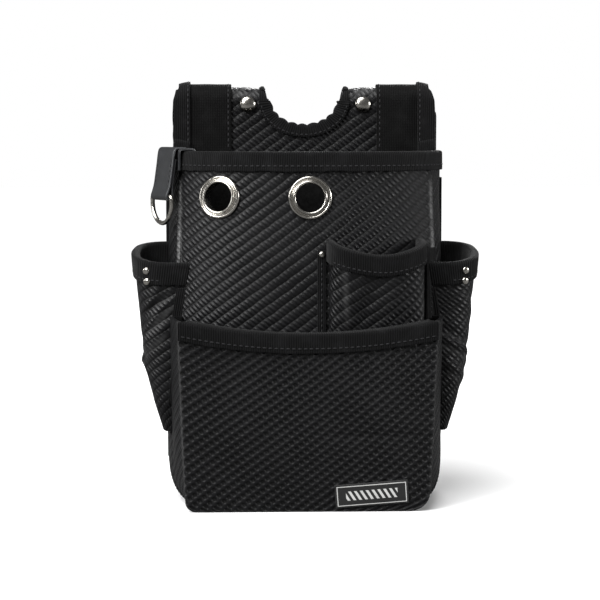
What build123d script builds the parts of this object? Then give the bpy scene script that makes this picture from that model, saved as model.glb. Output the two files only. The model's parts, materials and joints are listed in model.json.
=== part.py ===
from build123d import *
from collections import namedtuple
import math
import os

# Electrician's tool pouch: a two-stage belt pouch in lined PVC leather, with binding tape on
# its edges, webbing belt loops, side pockets, a small front pocket and a hanging D-ring.
# Millimetres. +X is to the right as seen from the front, -Y is the front, +Z is up.
# The model is drawn with the back panel's rear face on Y = 0, then moved so that the
# origin is under the middle of the whole pouch, on the surface that it stands on.

# Sheet goods
leather = 3.0           # lined PVC leather panel
pocket_leather = 2.5    # lighter leather of the side and small pockets
tape = 1.5              # folded binding tape, one layer
webbing = 2.0           # belt loop webbing
board = 2.0             # stiffener board
gap = 0.3               # clearance between sewn layers
pin_gap = 0.08          # radial clearance round a pin or a shank

# Main pouch
rim_height = 248.0
back_half_width = 98.5
bottom_corner_radius = 25.0
seam_inset = 10.5       # from the back panel's edge line in to the front seams
rim_band = 12.0         # height of the binding on the main rim
back_fold = 8.0         # how far the back binding reaches round onto the gusset

# Outline of the main pouch at four heights. swell is how far the sides belly out past the
# back panel, and square draws the front corners out: 0.55 is an ellipse, 0.85 nearly a box.
Level = namedtuple("Level", "z swell depth square")
base_level = Level(0.0, 4.5, 79.0, 0.84)
lower_level = Level(134.0, 6.0, 80.0, 0.80)
waist_level = Level(177.0, 5.5, 78.0, 0.72)
rim_level = Level(rim_height, 4.5, 73.0, 0.60)
levels = [base_level, lower_level, waist_level, rim_level]

# Ears, belt loops and the notch between the ears
overall_height = 300.0
ear_inset = 3.5         # from the back panel's edge line in to the ears
shoulder_below_rim = 4.0
shoulder_drop = 8.0
belt_width = 50.0
belt_clearance = 2.0
belt_tunnel = 12.0      # depth of the belt tunnel, front to back
loop_taper = 18.0       # height over which the rear of a loop comes in to its seam
loop_tail = 16.0        # sewn length below the tunnel
webbing_width = 42.0
webbing_below_rim = 13.0  # how far the webbing's foot reaches down inside the pouch
loop_edge_width = 12.0
inner_edge_width = 6.5
notch_half_width = 26.0
notch_depth = 19.0      # height of the curved part of the notch
notch_drop = 33.5       # from the top of the loops to the bottom of the notch
notch_band = 7.0

# Dome rivets that close the loops above the belt
dome_radius = 6.0
dome_height = 3.5
dome_shank_radius = 1.75
dome_drop = 17.0        # from the top of the loops
left_dome_x = -41.0
right_dome_x = 43.0

# Eyelets in the front panel
eyelet_hole_radius = 10.0
eyelet_flange_width = 5.2
eyelet_barrel_wall = 1.0
eyelet_flange = 1.4
eyelet_lip = 1.2
washer_width = 4.5      # from the edge of the hole
washer_thickness = 1.0
eyelet_below_rim = 30.0
left_eyelet_x = -61.0
right_eyelet_x = 2.0

# Lower pouch
lower_rim_height = 134.0
lower_rim_sag = 9.0
lower_rim_band = 12.0
lower_rim_half_width = 89.0
lower_rim_depth = 102.0
lower_base_half_width = 85.0
lower_base_depth = 88.0
lower_front_radius = 12.0
lower_rear_inset = 0.5  # from the back panel's edge line in to the lower pouch's rear
lower_rear_depth = 50.0
lower_strip_x = 68.0    # where the lower gussets give way to the strip of floor

# Small pocket on the front panel
small_x = 48.0
small_half_width = 33.0
small_rim_height = 187.0
small_rim_sag = 9.0
small_foot_height = 115.0
small_rim_bulge = 20.0
small_foot_bulge = 8.0
small_band = 13.0
small_square = 0.75
small_tab_width = 6.0
small_tab_foot = 122.0
small_tab_top = 182.0
small_rivet_radius = 2.2

# Side pockets
side_front_y = -58.0
side_rear_y = -11.0
side_mouth_rear = 182.0
side_mouth_front = 170.0
side_mouth_bulge = 24.7  # bulges are measured out from the back panel's edge line
side_middle_height = 100.0
side_middle_bulge = 17.5
side_knee_height = 72.0
side_knee_bulge = 11.0
side_toe_height = 50.0
side_toe_bulge = 4.0
side_toe_half_length = 14.0
side_knee_share = 0.6   # of the way from the toe's length to the mouth's
side_square = 0.72
side_band = 14.0
side_tape_width = 7.0
side_rivet_radius = 2.6
side_rivet_first = 4.0  # below the mouth
side_rivet_pitch = 7.5
side_rivet_share = 0.33 # how far round the pocket's front corner they sit

# Generic woven label on the lower front panel
label_width = 49.0
label_height = 17.0
label_thickness = 0.8
label_corner = 1.0
label_x = 41.5
label_z = 12.5
label_tilt = 4.5

# Ring strap and D-ring at the left end of the main rim
strap_width = 25.0
strap_thickness = 3.0
strap_facing = 60.0     # direction the strap faces, degrees from the front towards -X
strap_drop = 33.0       # from the strap's hinge line to the D-ring's bar
strap_lean = 9.0        # degrees outwards at rest
anchor_thickness = 2.0
anchor_leg = 12.0
ring_wire_radius = 1.6
ring_inner_width = 26.0
ring_leg = 2.0
strap_loop_wall = 1.5

# Small caps and studs
cap_height = 1.5
small_shank_radius = 1.0

# Derived places
front_seam_x = back_half_width - seam_inset
ear_half_width = back_half_width - ear_inset
shoulder_height = rim_height - shoulder_below_rim
webbing_foot_height = rim_height - webbing_below_rim
notch_height = overall_height - notch_drop
dome_z = overall_height - dome_drop
eyelet_z = rim_height - eyelet_below_rim
eyelet_outer_radius = eyelet_hole_radius + eyelet_flange_width
washer_radius = eyelet_hole_radius + washer_width
lower_rear_half_width = back_half_width - lower_rear_inset
layer_above_loop = leather + gap + webbing + gap + tape
fold_z = overall_height - belt_tunnel / 2 - layer_above_loop
tunnel_top = dome_z - dome_shank_radius
loop_bend_z = tunnel_top - belt_width - belt_clearance
loop_seam_z = loop_bend_z - loop_taper
loop_end_z = loop_seam_z - loop_tail
inside_front_y = -(leather + gap)
clear_of_loops_y = -(layer_above_loop + gap)
bound = gap + tape
front_reach = lower_rim_depth + bound
rear_reach = belt_tunnel + layer_above_loop
centre_shift = Pos(0, (front_reach - rear_reach) / 2, 0)
front_zone_y = -40.0    # the front panel lies wholly ahead of this
far = 400.0             # beyond the whole pouch
past = 10.0             # how far a cutting shape runs on past what it cuts
drill = 20.0            # half length of the tool that cuts a short hole
sliver = 1.0            # smaller overrun, between nested walls
rim_samples = 200
solver_steps = 60


def between(low, high, share):
    """Straight-line value between two numbers."""
    return low + (high - low) * share


def slab(x0, x1, y0, y1, z0, z1):
    """A box given by its limits."""
    middle = Pos((x0 + x1) / 2, (y0 + y1) / 2, (z0 + z1) / 2)
    return middle * Box(x1 - x0, y1 - y0, z1 - z0)


def only_solid(shape):
    """The solids of a boolean result, as one shape."""
    found = shape.solids()
    return found[0] if len(found) == 1 else Compound(children=list(found))


# Main pouch surfaces

def level_controls(level, grow):
    """Control points of the right half of an outline, from the back round to the front."""
    side = back_half_width + level.swell + grow
    depth = level.depth + grow
    return [
        (back_half_width + grow, 0.0),
        (side, -level.square * depth),
        (level.square * side, -depth),
        (0.0, -depth),
    ]


def outline_controls(z, grow):
    """The same control points at any height, on the straight walls between the levels."""
    below = levels[0]
    above = levels[1]
    for lower, upper in zip(levels, levels[1:]):
        if z >= lower.z:
            below = lower
            above = upper
    share = (z - below.z) / (above.z - below.z)
    pairs = zip(level_controls(below, grow), level_controls(above, grow))
    return [(between(a[0], b[0], share), between(a[1], b[1], share)) for a, b in pairs]


def outline_face(z, grow):
    """The main pouch's outline at one height, swollen by grow."""
    right = [Vector(x, y, z) for x, y in outline_controls(z, grow)]
    left = [Vector(-p.X, p.Y, z) for p in reversed(right)]
    edges = [Bezier(*right), Bezier(*left), Line(left[-1], right[0])]
    return make_face(edges)


def pouch_body(grow, low, high):
    """The solid inside the main pouch's walls, between two heights."""
    heights = [low] + [level.z for level in levels if low < level.z < high] + [high]
    return loft([outline_face(z, grow) for z in heights], ruled=True)


def wall_point(u, z, grow=0.0):
    """A point on the front right wall: u runs from 0 at the back to 1 at the front."""
    p = outline_controls(z, grow)
    weights = [(1 - u) ** 3, 3 * u * (1 - u) ** 2, 3 * u * u * (1 - u), u ** 3]
    x = sum(w * q[0] for w, q in zip(weights, p))
    y = sum(w * q[1] for w, q in zip(weights, p))
    return Vector(x, y, z)


def wall_normal(u, z):
    """Outward normal of the front right wall."""
    step = 0.001
    along = wall_point(u - step, z) - wall_point(u + step, z)
    up = wall_point(u, z + sliver) - wall_point(u, z)
    return along.cross(up).normalized()


def solve_wall(test):
    """The u from 0 to 1 where a falling test function crosses zero."""
    low = 0.0
    high = 1.0
    for _ in range(solver_steps):
        middle = (low + high) / 2
        if test(middle) > 0:
            low = middle
        else:
            high = middle
    return (low + high) / 2


def front_place(x, z):
    """Point and outward normal on the outside of the front wall at a given X."""
    u = solve_wall(lambda v: wall_point(v, z).X - abs(x))
    point = wall_point(u, z)
    normal = wall_normal(u, z)
    if x < 0:
        point = Vector(-point.X, point.Y, point.Z)
        normal = Vector(-normal.X, normal.Y, normal.Z)
    return point, normal


def floor_start_x():
    """X where the rounded bottom corner meets the flat bottom."""
    return outline_controls(bottom_corner_radius, 0.0)[0][0] + gap - bottom_corner_radius


def corner_room(grow):
    """The room left by the rounded bottom corners, as a prism from front to back."""
    centre_x = floor_start_x()
    radius = bottom_corner_radius + grow
    room = slab(-centre_x, centre_x, -far, far, -grow, bottom_corner_radius + radius)
    room += slab(-far, far, -far, far, bottom_corner_radius, far)
    for x in (-centre_x, centre_x):
        room += Pos(x, 0, bottom_corner_radius) * Rot(90, 0, 0) * Cylinder(radius, 2 * far)
    return room


def front_of_back_panel():
    return slab(-far, far, -far, inside_front_y, -far, far)


def main_outer():
    return pouch_body(0.0, 0.0, rim_height) & corner_room(0.0)


def main_wall_ring():
    """The standing walls, without the floor that lies between them."""
    ring = main_outer() - pouch_body(-leather, -leather, rim_height + leather)
    return ring & front_of_back_panel()


def main_shell():
    """Walls and floor in one, before they are cut into panels."""
    inner = pouch_body(-leather, -leather, rim_height + leather) & corner_room(-leather)
    return (main_outer() - inner) & front_of_back_panel()


def above_sag(centre_x, half_width, corner_z, sag, lift):
    """Everything above a rim that hangs down in its middle, raised by lift."""
    left = (centre_x - half_width, corner_z + lift)
    middle = (centre_x, corner_z - sag + lift)
    right = (centre_x + half_width, corner_z + lift)
    top = corner_z + lift + far
    outline = [
        ThreePointArc(left, middle, right),
        Polyline(right, (far, right[1]), (far, top), (-far, top), (-far, left[1]), left),
    ]
    return extrude(Plane.XZ * make_face(outline), far, both=True)


def ring_washer(outer, inner, low, high):
    """A flat ring about local Z, between two heights."""
    ring = Cylinder(outer, high - low) - Cylinder(inner, high - low)
    return Pos(0, 0, (low + high) / 2) * ring


def domed_cap(radius, height):
    """A rivet cap: a spherical dome that stands on local Z = 0."""
    sphere_radius = (radius * radius + height * height) / (2 * height)
    ball = Pos(0, 0, height - sphere_radius) * Sphere(sphere_radius)
    return ball & (Pos(0, 0, height / 2) * Cylinder(radius, height))


def stud(low, high, radius):
    """A plain shank about local Z."""
    return Pos(0, 0, (low + high) / 2) * Cylinder(radius, high - low)


# Back panel, ears and belt loops

def notch_region(grow):
    """The notch between the ears, swollen by grow, as a face in X and Z."""
    centre_z = notch_height + notch_depth
    curve = Pos(0, centre_z) * Ellipse(notch_half_width + grow, notch_depth + grow)
    rise = far - centre_z
    return curve + Pos(0, centre_z + rise / 2) * Rectangle(2 * (notch_half_width + grow), rise)


def back_outline():
    """Outline of the back panel in X and Z: rounded foot, shoulders and square ears."""
    shoulder_top = shoulder_height + shoulder_drop
    half = [
        (back_half_width, 0.0),
        (back_half_width, shoulder_height),
        (ear_half_width, shoulder_top),
        (ear_half_width, fold_z),
    ]
    mirrored = [(-x, z) for x, z in reversed(half)]
    panel = make_face(Polyline(*half, *mirrored, close=True))
    feet = [v for v in panel.vertices() if v.Y < sliver]
    return fillet(feet, bottom_corner_radius)


def prism(face, y0, y1):
    """A face drawn in X and Z, made solid between two depths."""
    return Pos(0, y1, 0) * extrude(Plane.XZ * face, y1 - y0)


def dome_places():
    return [Pos(x, -leather - gap, dome_z) * Rot(90, 0, 0) for x in (left_dome_x, right_dome_x)]


def dome_holes():
    """Clearance holes for the dome rivets, through everything."""
    return [p * stud(-far, far, dome_shank_radius + pin_gap) for p in dome_places()]


def back_panel():
    panel = prism(back_outline(), -leather, 0.0) - prism(notch_region(0.0), -far, far)
    for hole in dome_holes():
        panel -= hole
    return only_solid(panel)


def back_board():
    """Stiffener inside the pouch, against the back panel."""
    half = back_half_width - leather - 4 * gap
    top = webbing_foot_height - leather
    low = leather + board + 2 * gap
    shape = make_face(Polyline((-half, low), (half, low), (half, top), (-half, top), close=True))
    feet = [v for v in shape.vertices() if v.Y < low + sliver]
    shape = fillet(feet, bottom_corner_radius)
    return prism(shape, inside_front_y - board, inside_front_y)


def loop_layer(offset, thickness, front_z):
    """Side view of one layer of a belt loop, offset outwards from the belt tunnel.

    It rises in front of the tunnel, turns over its top, comes down behind it, closes in
    and ends in a tail that is sewn to the back panel.
    """
    radius = belt_tunnel / 2
    outer = offset + thickness
    turn = Pos(radius, fold_z) * (Circle(radius + outer) - Circle(radius + offset))
    turn &= Pos(radius, fold_z + far / 2) * Rectangle(far, far)
    rear = belt_tunnel + offset
    tail = gap + offset
    layer = turn + Polygon(
        (rear, fold_z), (rear + thickness, fold_z),
        (rear + thickness, loop_bend_z), (rear, loop_bend_z), align=None,
    )
    layer += Polygon(
        (rear, loop_bend_z), (rear + thickness, loop_bend_z),
        (tail + thickness, loop_seam_z), (tail, loop_seam_z), align=None,
    )
    layer += Polygon(
        (tail, loop_seam_z), (tail + thickness, loop_seam_z),
        (tail + thickness, loop_end_z), (tail, loop_end_z), align=None,
    )
    if front_z < fold_z:
        layer += Polygon(
            (-outer, front_z), (-offset, front_z), (-offset, fold_z), (-outer, fold_z), align=None,
        )
    return layer


def loop_band(x0, x1, offset, thickness, front_z):
    """One layer of a belt loop between two X limits."""
    profile = Plane.YZ * loop_layer(offset, thickness, front_z)
    spans = [extrude(face, x1 - x0, dir=(1, 0, 0)) for face in profile.faces()]
    band = spans[0]
    for span in spans[1:]:
        band += span
    return Pos(x0, 0, 0) * band


def on_side(shape, side):
    """The shape as drawn for +X, or mirrored for -X."""
    return shape if side > 0 else mirror(shape, about=Plane.YZ)


def belt_loop(side):
    """The leather of one ear, turned over the belt."""
    loop = on_side(loop_band(notch_half_width, ear_half_width, 0.0, leather, fold_z), side)
    for hole in dome_holes():
        loop -= hole
    return only_solid(loop)


def loop_webbing(side):
    offset = leather + gap
    inner_x = ear_half_width - webbing_width
    band = loop_band(inner_x, ear_half_width, offset, webbing, webbing_foot_height)
    return only_solid(on_side(band, side))


def loop_edge_tape(side):
    offset = leather + gap + webbing + gap
    inner_x = ear_half_width - loop_edge_width
    band = loop_band(inner_x, ear_half_width, offset, tape, webbing_foot_height)
    return only_solid(on_side(band, side))


def inner_edge_tape(side):
    outer_x = notch_half_width + inner_edge_width
    band = loop_band(notch_half_width, outer_x, leather + gap, tape, fold_z)
    return only_solid(on_side(band, side))


def notch_binding():
    """Gathered tape folded over the edge of the notch."""
    front = -leather - bound
    outside = notch_region(notch_band) - notch_region(-bound)
    inside = notch_region(notch_band + bound) - notch_region(-gap)
    band = prism(outside, front, bound) - prism(inside, -leather - gap, gap)
    return only_solid(band & slab(-far, far, -far, far, 0, fold_z - gap))


def back_binding(side):
    """Tape that closes the seam between the back panel and a gusset."""
    outer_body = pouch_body(bound, -past, shoulder_height) & corner_room(bound)
    inner_body = pouch_body(gap, -past, shoulder_height + past) & corner_room(gap)
    skirt_top = rim_height - rim_band - gap
    skirt = (outer_body - inner_body) & slab(0, far, -back_fold, 0, -far, skirt_top)
    rear_outer = make_face(Polyline(
        (ear_half_width + gap, 0), (back_half_width + bound, 0),
        (back_half_width + bound, shoulder_height), (ear_half_width + gap, shoulder_height),
        close=True,
    ))
    rear = prism(rear_outer, 0.0, bound) & corner_room(bound)
    rear -= prism(back_outline(), -leather, gap) + slab(
        0, back_half_width + gap, -far, gap, 0, far) & corner_room(gap)
    band = (skirt + rear) & slab(0, far, -far, far, leather, far)
    return only_solid(on_side(band, side))


def dome_rivets():
    """Cap and shank in one, driven from the front of each ear."""
    length = leather + belt_tunnel + leather + 2 * gap + cap_height / 2
    shapes = [p * (domed_cap(dome_radius, dome_height) + stud(-length, 0.0, dome_shank_radius))
              for p in dome_places()]
    return Compound(children=[only_solid(s) for s in shapes])


def dome_rivet_backs():
    """Socket caps pressed on behind each ear."""
    seat_y = belt_tunnel + leather + gap
    caps = []
    for x in (left_dome_x, right_dome_x):
        place = Pos(x, seat_y, dome_z) * Rot(-90, 0, 0)
        socket = stud(-sliver, cap_height / 2 + gap, dome_shank_radius + pin_gap)
        caps.append(only_solid(place * (domed_cap(dome_radius, 2 * cap_height) - socket)))
    return Compound(children=caps)


def rim_end_tabs():
    """Folded ends of the rim tape, standing on the webbing at the foot of each ear."""
    low = rim_height + bound + gap
    tab = slab(
        ear_half_width - loop_edge_width, ear_half_width,
        clear_of_loops_y - 2 * tape, clear_of_loops_y, low, low + rim_band / 2,
    )
    tab = fillet(tab.edges().filter_by(Axis.Y), tape)
    return Compound(children=[only_solid(on_side(tab, side)) for side in (-1, 1)])


# Main pouch panels

def eyelet_places():
    """Local frames of the two eyelets: Z outwards, origin on the panel's outer face."""
    places = []
    for x in (left_eyelet_x, right_eyelet_x):
        point, normal = front_place(x, eyelet_z)
        places.append(Plane(origin=point, z_dir=normal).location)
    return places


def barrel_radius():
    return eyelet_hole_radius + eyelet_barrel_wall


def small_rivet_place():
    x = small_x - small_half_width - bound - gap - small_tab_width / 2
    point, normal = front_place(x, small_tab_top - small_tab_width / 2)
    return Plane(origin=point, z_dir=normal).location


def front_zone():
    """Everything ahead of the gussets, between the two front seams."""
    return slab(-front_seam_x, front_seam_x, -far, front_zone_y, -far, far)


def front_panel():
    wall = main_wall_ring() & front_zone()
    for place in eyelet_places():
        wall -= place * stud(-drill, drill, barrel_radius() + gap)
    wall -= small_rivet_place() * stud(-drill, drill, small_shank_radius + pin_gap)
    return only_solid(wall)


def main_gusset(side):
    """Side wall of the main pouch, with the rounded corner that turns into the floor."""
    rest = main_shell() - (main_wall_ring() & front_zone())
    return only_solid(rest & on_side(slab(floor_start_x(), far, -far, far, -far, far), side))


def bottom_panel():
    body = pouch_body(-leather, 0.0, leather) & front_of_back_panel()
    return only_solid(body & slab(-floor_start_x(), floor_start_x(), -far, far, -far, far))


def bottom_board():
    """Stiffener that lies on the floor of the main pouch."""
    rear = inside_front_y - board - 2 * gap
    body = pouch_body(-leather - 2 * gap, leather + gap, leather + gap + board)
    return only_solid(body & slab(-floor_start_x(), floor_start_x(), -far, rear, -far, far))


def main_rim_binding():
    low = rim_height - rim_band
    high = rim_height + bound
    tall = high + past
    outside = pouch_body(bound, low, high) - pouch_body(-leather - bound, low - sliver, tall)
    cavity = pouch_body(gap, low - sliver, rim_height + gap)
    cavity -= pouch_body(-leather - gap, low - 2 * sliver, tall)
    return only_solid((outside - cavity) & slab(-far, far, -far, clear_of_loops_y, -far, far))


def eyelet_drop(radius):
    """How far the front wall falls back from flat across an eyelet, at worst."""
    drops = []
    for x in (left_eyelet_x, right_eyelet_x):
        point, normal = front_place(x, eyelet_z)
        for reach in (-radius, radius):
            other, _ = front_place(x + reach, eyelet_z)
            drops.append((point - other).dot(normal))
    return max(drops)


def eyelets():
    """Flange with a raised lip, and the barrel that passes through the leather."""
    depth = leather + eyelet_drop(washer_radius) + 2 * gap + washer_thickness + gap
    rings = []
    for place in eyelet_places():
        high = gap + eyelet_flange
        ring = ring_washer(eyelet_outer_radius, eyelet_hole_radius, gap, high)
        lip = eyelet_hole_radius + 2 * eyelet_barrel_wall
        ring += ring_washer(lip, eyelet_hole_radius, high, high + eyelet_lip)
        ring += ring_washer(barrel_radius(), eyelet_hole_radius, -depth, gap)
        rings.append(only_solid(place * ring))
    return Compound(children=rings)


def eyelet_washers():
    """Washers that clamp the eyelets from inside the pouch."""
    high = -(leather + eyelet_drop(washer_radius) + gap)
    bore = barrel_radius() + pin_gap
    ring = ring_washer(washer_radius, bore, high - washer_thickness, high)
    return Compound(children=[only_solid(place * ring) for place in eyelet_places()])


# Lower pouch

def lower_tilt():
    return math.atan2(lower_rim_depth - lower_base_depth, lower_rim_height)


def lower_plane():
    """Plane of the lower front panel's outer face: X across, local Y up the slope."""
    outwards = Vector(0, -math.cos(lower_tilt()), -math.sin(lower_tilt()))
    return Plane(origin=(0, -lower_base_depth, 0), x_dir=(1, 0, 0), z_dir=outwards)


def lower_outline(base_half, rim_half, radius, inset):
    """Front view of the lower pouch, set in by inset, and open past its rim."""
    height = lower_rim_height / math.cos(lower_tilt())
    flare = (rim_half - base_half) / height
    top = height + past
    base = base_half - inset + flare * inset
    crown = base_half - inset + flare * top
    outline = Polyline((-base, inset), (base, inset), (crown, top), (-crown, top), close=True)
    panel = make_face(outline)
    feet = [v for v in panel.vertices() if v.Y < inset + sliver]
    return fillet(feet, radius - inset)


def front_outline(inset):
    return lower_outline(lower_base_half_width, lower_rim_half_width, lower_front_radius, inset)


def rear_outline(inset):
    return lower_outline(lower_rear_half_width, lower_rear_half_width, bottom_corner_radius, inset)


def below_lower_rim(lift):
    return slab(-far, far, -far, far, -far, far) - above_sag(
        0.0, lower_rim_half_width, lower_rim_height, lower_rim_sag, lift)


def lower_slab(outer, inner):
    """The lower front panel's outline, solid from outer to inner along its own normal."""
    face = lower_plane() * (Pos(0, 0, outer) * front_outline(0.0))
    return extrude(face, inner - outer)


def above_ground():
    return slab(-far, far, -far, far, 0, far)


def lower_front_panel():
    panel = lower_slab(0.0, -leather) & below_lower_rim(0.0)
    return only_solid(panel & above_ground())


def lower_sleeve(inset):
    """The lower pouch's sides and floor, as a solid tube from its front to the gussets."""
    rear_plane = Plane(origin=(0, -lower_rear_depth, 0), x_dir=(1, 0, 0), z_dir=(0, -1, 0))
    front = lower_plane() * (Pos(0, 0, -leather) * front_outline(inset))
    return loft([rear_plane * rear_outline(inset), front], ruled=True)


def lower_strip():
    """Side walls and floor strip of the lower pouch, outside the main pouch."""
    strip = lower_sleeve(0.0) - lower_sleeve(pocket_leather)
    strip -= pouch_body(gap, -past, lower_rim_height + past)
    rear = side_front_y - bound - gap
    return strip & below_lower_rim(0.0) & slab(-far, far, -far, rear, 0, far)


def lower_gusset(side):
    return only_solid(lower_strip() & on_side(
        slab(lower_strip_x, far, -far, far, -far, far), side))


def lower_floor():
    return only_solid(lower_strip() & slab(
        -lower_strip_x, lower_strip_x, -far, far, -far, lower_front_radius))


def lower_rim_binding():
    band = lower_slab(bound, -leather - bound) & below_lower_rim(bound)
    band -= below_lower_rim(-lower_rim_band)
    band -= lower_slab(gap, -leather - gap) & below_lower_rim(gap)
    inner_x = lower_base_half_width - pocket_leather - gap
    behind = lower_slab(-leather - gap / 2, -2 * drill)
    for x0, x1 in ((-far, -inner_x), (inner_x, far)):
        band -= behind & slab(x0, x1, -far, far, -far, far)
    return only_solid(band)


def label():
    """Plain woven patch, sewn on at a slight slant."""
    patch = Pos(0, 0, gap + label_thickness / 2) * Box(label_width, label_height, label_thickness)
    patch = fillet(patch.edges().filter_by(Axis.Z), label_corner)
    return only_solid(lower_plane().location * (Pos(label_x, label_z, 0) * Rot(0, 0, label_tilt)
                                                * patch))


# Small pocket

def small_face(z, grow):
    """Outline of the small pocket at one height, closed behind the front panel's face."""
    share = (z - small_foot_height) / (small_rim_height - small_foot_height)
    bulge = between(small_foot_bulge, small_rim_bulge, share) + grow
    half = small_half_width + grow
    base_y = -outline_depth(z)
    back_y = base_y + small_rim_bulge
    right = [
        Vector(half, base_y, z), Vector(half, base_y - small_square * bulge, z),
        Vector(small_square * half, base_y - bulge, z), Vector(0, base_y - bulge, z),
    ]
    left = [Vector(-p.X, p.Y, z) for p in reversed(right)]
    closing = Polyline(left[-1], (-half, back_y, z), (half, back_y, z), right[0])
    return Pos(small_x, 0, 0) * make_face([Bezier(*right), Bezier(*left), closing])


def outline_depth(z):
    """How far the main pouch's front stands from the back, at one height."""
    return -outline_controls(z, 0.0)[3][1]


def small_body(grow, low, high):
    heights = [low] + [level.z for level in levels if low < level.z < high] + [high]
    return loft([small_face(z, grow) for z in heights], ruled=True)


def below_small_rim(lift):
    return slab(-far, far, -far, far, -far, far) - above_sag(
        small_x, small_half_width, small_rim_height, small_rim_sag, lift)


def outside_main():
    """What lies outside the main pouch, with a seam's clearance."""
    return pouch_body(gap, -past, rim_height + past)


def small_pocket():
    """Bellows pocket with its own floor, open at the top and against the front panel."""
    top = small_rim_height + leather
    shell = small_body(0.0, small_foot_height, top)
    shell -= small_body(-pocket_leather, small_foot_height + pocket_leather, top + sliver)
    return only_solid((shell - outside_main()) & below_small_rim(0.0))


def small_pocket_binding():
    low = small_rim_height - small_rim_sag - small_band - leather
    top = small_rim_height + 2 * leather
    outside = small_body(bound, low, top) - small_body(-pocket_leather - bound, low - sliver, top + sliver)
    cavity = small_body(gap, low - sliver, top) - small_body(-pocket_leather - gap, low - 2 * sliver, top + sliver)
    band = (outside & below_small_rim(bound)) - (cavity & below_small_rim(gap))
    return only_solid(band - below_small_rim(-small_band) - outside_main())


def small_pocket_tabs():
    """Flat strips that sew the small pocket's sides to the front panel."""
    skin = pouch_body(bound, small_tab_foot, small_tab_top)
    skin -= pouch_body(gap, small_tab_foot - sliver, small_tab_top + sliver)
    reach = small_half_width + bound + gap
    left = skin & slab(
        small_x - reach - small_tab_width, small_x - reach, -far, front_zone_y, 0, far)
    right = skin & slab(
        small_x + reach, small_x + reach + small_tab_width, -far, front_zone_y, 0, far)
    left -= small_rivet_place() * stud(-drill, drill, small_shank_radius + pin_gap)
    return Compound(children=[only_solid(left), only_solid(right)])


def small_pocket_rivet():
    shape = Pos(0, 0, bound + gap) * domed_cap(small_rivet_radius, cap_height)
    shape += stud(-leather, bound + gap + cap_height / 4, small_shank_radius)
    return only_solid(small_rivet_place() * shape)


# Side pockets

def side_shape(z):
    """Outermost X and half length of a side pocket's outline at a height."""
    rim_half = (side_rear_y - side_front_y) / 2
    steps = [
        (side_toe_height, side_toe_bulge, side_toe_half_length),
        (side_knee_height, side_knee_bulge, between(side_toe_half_length, rim_half, side_knee_share)),
        (side_middle_height, side_middle_bulge, rim_half),
        (side_mouth_rear, side_mouth_bulge, rim_half),
    ]
    below = steps[0]
    above = steps[1]
    for lower, upper in zip(steps, steps[1:]):
        if z >= lower[0]:
            below = lower
            above = upper
    share = (z - below[0]) / (above[0] - below[0])
    reach = back_half_width + between(below[1], above[1], share)
    return reach, between(below[2], above[2], share)


def side_controls(z, grow):
    """Control points of the front half of a side pocket's outline, front end first."""
    reach, half = side_shape(z)
    middle_y = (side_front_y + side_rear_y) / 2
    half += grow
    reach += grow
    root = back_half_width
    return [
        (root, middle_y - half),
        (between(root, reach, side_square), middle_y - half),
        (reach, middle_y - side_square * half),
        (reach, middle_y),
    ]


def side_face(z, grow):
    front = [Vector(x, y, z) for x, y in side_controls(z, grow)]
    middle_y = (side_front_y + side_rear_y) / 2
    rear = [Vector(p.X, 2 * middle_y - p.Y, z) for p in reversed(front)]
    inner_x = back_half_width - leather
    closing = Polyline(rear[-1], (inner_x, rear[-1].Y, z), (inner_x, front[0].Y, z), front[0])
    return make_face([Bezier(*front), Bezier(*rear), closing])


def side_body(grow, low, high):
    stations = (side_knee_height, side_middle_height)
    heights = [low] + [z for z in stations if low < z < high] + [high]
    return loft([side_face(z, grow) for z in heights], ruled=True)


def mouth_plane(lift):
    """Sloping plane of a side pocket's mouth, raised by lift."""
    slope = math.atan2(side_mouth_rear - side_mouth_front, side_rear_y - side_front_y)
    up = Vector(0, -math.sin(slope), math.cos(slope))
    return Plane(origin=(0, side_rear_y, side_mouth_rear + lift), x_dir=(1, 0, 0), z_dir=up)


def below_mouth(lift):
    return mouth_plane(lift).location * Pos(0, 0, -far / 2) * Box(2 * far, 2 * far, far)


def side_rivet_places():
    """Frames on the outer face of a side pocket, near the front end of its mouth."""
    share = side_rivet_share
    weights = [(1 - share) ** 3, 3 * share * (1 - share) ** 2, 3 * share ** 2 * (1 - share),
               share ** 3]
    slopes = [-3 * (1 - share) ** 2, 3 * (1 - share) * (1 - 3 * share),
              3 * share * (2 - 3 * share), 3 * share ** 2]
    places = []
    for count in range(2):
        z = side_mouth_front - side_rivet_first - count * side_rivet_pitch
        points = side_controls(z, 0.0)
        at = Vector(sum(w * p[0] for w, p in zip(weights, points)),
                    sum(w * p[1] for w, p in zip(weights, points)), z)
        along = Vector(sum(s * p[0] for s, p in zip(slopes, points)),
                       sum(s * p[1] for s, p in zip(slopes, points)), 0)
        outwards = along.cross(Vector(0, 0, 1)).normalized()
        places.append(Plane(origin=at, z_dir=outwards).location)
    return places


def side_rivet_holes():
    reach = pocket_leather + 2 * bound
    return [p * stud(-reach, reach, small_shank_radius + pin_gap) for p in side_rivet_places()]


def side_pocket(side):
    top = side_mouth_rear + leather
    shell = side_body(0.0, side_toe_height, top)
    shell -= side_body(-pocket_leather, side_toe_height + 4 * pocket_leather, top + sliver)
    shell = (shell - outside_main()) & below_mouth(0.0)
    for hole in side_rivet_holes():
        shell -= hole
    return only_solid(on_side(shell, side))


def side_pocket_binding(side):
    low = side_mouth_front - side_band - 2 * leather
    top = side_mouth_rear + 2 * leather
    outside = side_body(bound, low, top) - side_body(-pocket_leather - bound, low - sliver, top + sliver)
    cavity = side_body(gap, low - sliver, top) - side_body(-pocket_leather - gap, low - 2 * sliver, top + sliver)
    band = (outside & below_mouth(bound)) - (cavity & below_mouth(gap))
    band = band - below_mouth(-side_band) - outside_main()
    for hole in side_rivet_holes():
        band -= hole
    return only_solid(on_side(band, side))


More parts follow.
